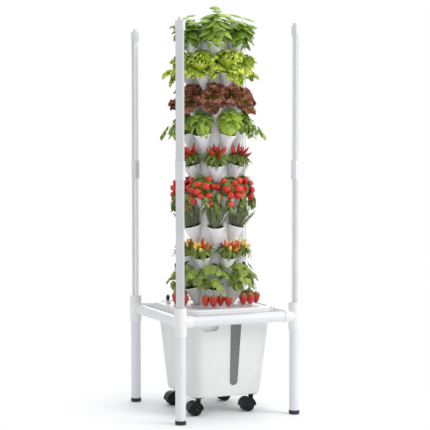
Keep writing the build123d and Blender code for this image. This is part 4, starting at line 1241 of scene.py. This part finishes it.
def sepal_star(count, crest, start, rise, size, tone, carry=Matrix()):
    """A ring of sepals on top of a fruit, carried to its place by a matrix."""
    star = []
    for point in range(count):
        ahead = heading(math.tau * point / count + start, rise)
        star.append(placed_copy(sepal, carry @ facing(crest, ahead, UP, size), tone))
    return star


bushes, fruits = [], []
for seed in (61, 62):
    chance = random.Random(seed)
    leaves = dome_leaves(
        chance, tomato_leaf, TOMATO_LEAVES, middle=38, spread=52,
        tall=54, lowest=128, droop=0.8, size=(0.75, 1.2),
    )
    leaves += branch_stems(chance, count=6, root=7, middle=52, spread=26)
    for side in (-74, 72):
        leaves += trail(chance, tomato_leaf, side, knee=(60, 24), end=(84, -56), count=11)
    for side in (-26, 30):
        leaves += trail(chance, tomato_leaf, side, knee=(60, 24), end=(76, -24), count=7)
    pods, centres = [], []
    for level, ring, sides in TOMATO_RINGS:
        for side in sides:
            turn = math.radians(side + chance.uniform(-TOMATO_TURN, TOMATO_TURN))
            height = level + chance.uniform(-TOMATO_LIFT, TOMATO_LIFT)
            centre = Vector((ring * math.cos(turn), ring * math.sin(turn), height)) * MM
            scale = chance.uniform(*TOMATO_SIZES)
            if any((centre - other).length < TOMATO_APART * MM for other in centres):
                continue
            centres.append(centre)
            matrix = Matrix.Translation(centre) @ Matrix.Scale(scale, 4)
            pods.append(placed_copy(tomato, matrix, chance.random()))
            crest = centre + Vector((0, 0, TOMATO_CREST * scale))
            leaves += sepal_star(5, crest, start=turn, rise=0.05, size=0.8, tone=0.7)
    bushes.append(joined("tomato_bush", leaves))
    fruits.append(joined("tomato_cluster", pods))
finished(set_in_pots("tomato_foliage", TOMATO_TIER, bushes), "tomato_plants", "tomato_plant", *bushes)
finished(set_in_pots("tomato_fruit", TOMATO_TIER, fruits), "tomato_plants", "tomato_plant", *fruits)

# %% [markdown]
# ## Rosemary
#
# A sprig is a woody twig with whorls of needles that get shorter towards its tip. One sprig is modelled and
# copied, leaning out from the middle of the pot. Hair particles would be quicker to grow, but a modelled
# needle keeps its thickness in the exported mesh.

# %% Rosemary sprig
SPRIG_LENGTH = 0.09
WHORLS = 17
NEEDLES_ROUND = 4
FIRST_WHORL = 0.08
TWIG_SINK = 0.002
NEEDLE_TWIST = 12
NEEDLE_RISE = (0.7, 1.1)
NEEDLE_SIZE = (1.25, 0.5)
NEEDLE_SIZE_CHANGE = 0.1

chance = random.Random(70)
parts = [stalk(twig, (0, 0, -TWIG_SINK), (0, 0, SPRIG_LENGTH))]
for whorl in range(WHORLS):
    share = whorl / (WHORLS - 1)
    for number in range(NEEDLES_ROUND):
        spoke = (number + whorl / 2) * 360 / NEEDLES_ROUND
        turn = math.radians(spoke + chance.uniform(-NEEDLE_TWIST, NEEDLE_TWIST))
        ahead = heading(turn, NEEDLE_RISE[0] + NEEDLE_RISE[1] * share)
        base = (0, 0, SPRIG_LENGTH * (FIRST_WHORL + (1 - FIRST_WHORL) * share))
        change = chance.uniform(-NEEDLE_SIZE_CHANGE, NEEDLE_SIZE_CHANGE)
        size = NEEDLE_SIZE[0] - NEEDLE_SIZE[1] * share + change
        parts.append(placed_copy(needle, facing(base, ahead, UP, size), chance.random()))
sprig = joined("rosemary_sprig", parts)

# %% Rosemary plants
SPRIGS = 14
SPRIG_RING = 21
SPRIG_LEAN = (3, 26)
SPRIG_LEAN_CHANGE = 5
SPRIG_LEAN_STEP = 0.05
SPRIG_REACH = 0.12
SPRIG_SIZES = (0.72, 1.08)

rosemaries = []
for seed in (71, 72):
    chance = random.Random(seed)
    sprigs = []
    for number in range(SPRIGS):
        share = (number + 0.5) / SPRIGS
        out = heading(math.radians(number * GOLDEN_TURN))
        change = chance.uniform(-SPRIG_LEAN_CHANGE, SPRIG_LEAN_CHANGE)
        tip = math.radians(SPRIG_LEAN[0] + SPRIG_LEAN[1] * math.sqrt(share) + change)
        foot = out * (SPRIG_RING * math.sqrt(share) * MM)
        scale = chance.uniform(*SPRIG_SIZES)
        while tip > 0 and not clear_of_column(foot + leaning(out, tip) * SPRIG_REACH):
            tip -= SPRIG_LEAN_STEP
        matrix = standing(foot, leaning(out, tip)) @ Matrix.Scale(scale, 4)
        sprigs.append(placed_copy(sprig, matrix))
    rosemaries.append(joined("rosemary", sprigs))
rosemary_tier = set_in_pots("rosemary_foliage", ROSEMARY_TIER, rosemaries)
finished(rosemary_tier, "rosemary_plants", "rosemary_sprig", *rosemaries)

# %% [markdown]
# ## Strawberries
#
# A strawberry leaf is three round leaflets on one long stalk. The berries hang outside the pot on their own
# bent stalks, down to the tank's lid, and each has a green star on top. The berries stand upright in the
# tier's frame, not in the leaning pot's, because they hang. Leaves and berries keep clear of the float's
# knob.

# %% Strawberry leaves
STRAWBERRY_LEAVES = 26
LEAF_TWIST = 15
LEAF_CLIMB = (82, 74)
LEAF_CLIMB_CHANGE = 8
LEAF_LIFT = 0.014
LEAF_ROOM = 0.02
LEAF_ROOT = 0.001
LEAF_REACH = (0.056, 0.1)
LEAF_NOD = (28, 58)
LEAFLET_SWINGS = (-78, 0, 78)
LEAFLET_LENGTH = 0.036
LEAFLET_SIZES = (0.5, 0.76)

plants = []
for seed in (91, 92):
    chance = random.Random(seed)
    leaves = []
    for number in range(STRAWBERRY_LEAVES):
        share = (number + 0.5) / STRAWBERRY_LEAVES
        out = heading(math.radians(number * GOLDEN_TURN + chance.uniform(-LEAF_TWIST, LEAF_TWIST)))
        change = chance.uniform(-LEAF_CLIMB_CHANGE, LEAF_CLIMB_CHANGE)
        climb = math.radians(LEAF_CLIMB[0] - LEAF_CLIMB[1] * share + change)
        reach = chance.uniform(*LEAF_REACH)
        head = out * (reach * math.cos(climb)) + Vector((0, 0, LEAF_LIFT + reach * math.sin(climb)))
        if not (clear_of_column(head + out * LEAF_ROOM) and clear_of_float(head)):
            continue
        leaves.append(stalk(stem, (0, 0, -LEAF_ROOT), head))
        nod = math.radians(chance.uniform(*LEAF_NOD))
        face = leaning(out, nod)
        middle = out * math.cos(nod) - Vector((0, 0, math.sin(nod)))
        for swing in LEAFLET_SWINGS:
            way = math.radians(swing)
            ahead = middle * math.cos(way) + face.cross(middle) * math.sin(way)
            tip = head + ahead * LEAFLET_LENGTH
            if not (clear_of_column(tip) and clear_of_float(head.lerp(tip, 0.5), tip)):
                continue
            matrix = facing(head, ahead, face, chance.uniform(*LEAFLET_SIZES))
            leaves.append(placed_copy(strawberry_leaf, matrix, chance.random()))
    plants.append(joined("strawberry", leaves))
strawberry_tier = set_in_pots("strawberry_foliage", STRAWBERRY_TIER, plants)
finished(strawberry_tier, "strawberry_plants", "strawberry_plant", *plants)

# %% Strawberries
# Each berry of a pot: how far it hangs to the side, and whether nearer the tower or further out
BERRY_PLACES = ((-46.0, -1), (-15.5, 1), (15.5, -1), (46.0, 1))
BERRY_REACH = 168.0
BERRY_STAGGER = 9.0
BERRY_TOP = 50.0
BERRY_SIZES = (1.18, 1.28)
STAR_LIFT = Vector((0, 0, 0.005))
STALK_SINK = Vector((0, 0, 0.001))
ROOT_RISE = 14
KNEE_RISE = 10
KNEE_SHORT = 6
KNEE_SIDE = 0.95
SHOULDER_DROP = 4

chance = random.Random(95)
berries, greenery = [], []
for pot in range(POTS):
    upright = tier_matrix(STRAWBERRY_TIER) @ pot_turn(pot)
    for side, stagger in BERRY_PLACES:
        reach = BERRY_REACH + stagger * BERRY_STAGGER
        if pot == FLOAT_POT and math.hypot(reach - FLOAT_PLACE[0], side - FLOAT_PLACE[1]) < FLOAT_CLEAR:
            continue
        top = Vector((reach, side, BERRY_TOP)) * MM
        spin = Matrix.Rotation(chance.uniform(0, math.tau), 4, "Z")
        scale = Matrix.Scale(chance.uniform(*BERRY_SIZES), 4)
        berries.append(placed_copy(berry, upright @ Matrix.Translation(top) @ spin @ scale, chance.random()))
        greenery += sepal_star(7, top + STAR_LIFT, start=0.0, rise=-0.45, size=2.0, tone=0.5, carry=upright)
        root = Vector((POT_REACH, side / 2, POT_RIM_HEIGHT + ROOT_RISE)) * MM
        knee = Vector((reach - KNEE_SHORT, side * KNEE_SIDE, POT_RIM_HEIGHT + KNEE_RISE)) * MM
        shoulder = Vector((reach, side, POT_RIM_HEIGHT - SHOULDER_DROP)) * MM
        for foot, head in ((root, knee), (knee, shoulder), (shoulder, top - STALK_SINK)):
            greenery.append(stalk(stem, foot, head))
            greenery[-1].data.transform(upright)
finished(joined("strawberry_fruit", berries), "strawberry_plants", "strawberry_plant")
finished(joined("strawberry_stalks", greenery), "strawberry_plants", "strawberry_plant")

# %% [markdown]
# ## Crumbs on the growing medium
#
# A few dozen loose crumbs lie on each pot's medium. They are small lumps with flat faces, sunk a little. One
# bed of them is made and turned by a different angle in each pot.

# %% Crumbs
CRUMBS = 34
CRUMB_RING = 30
CRUMB_SINK = 0.4
CRUMB_TILT = 0.4
CRUMB_SIZES = (0.7, 1.5)
CRUMB_TONE = 0.5
BED_TURN = 67

crumbs = []
chance = random.Random(99)
for number in range(CRUMBS):
    turn = math.radians(number * GOLDEN_TURN)
    ring = CRUMB_RING * math.sqrt((number + 0.5) / CRUMBS) * MM
    height = chance.uniform(-CRUMB_SINK, CRUMB_SINK) * MM
    place = Matrix.Translation((ring * math.cos(turn), ring * math.sin(turn), height))
    tilt = Matrix.Rotation(chance.uniform(0, math.tau), 4, (chance.random(), chance.random(), CRUMB_TILT))
    scale = Matrix.Scale(chance.uniform(*CRUMB_SIZES), 4)
    crumbs.append(placed_copy(crumb, place @ tilt @ scale, CRUMB_TONE))
crumb_bed = joined("crumb_bed", crumbs)
beds = []
for tier in range(1, TIER_COUNT + 1):
    for pot in range(POTS):
        spin = Matrix.Rotation(math.radians(BED_TURN * (tier + pot)), 4, "Z")
        beds.append(placed_copy(crumb_bed, tier_matrix(tier) @ pot_turn(pot) @ SOIL @ spin))
bed = joined("medium_crumbs", beds)
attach(bed, "trolley")
for piece in (*MASTERS, sprig, crumb_bed):
    bpy.data.objects.remove(piece)
print("laid", len(beds), "beds of crumbs and cleared the masters")
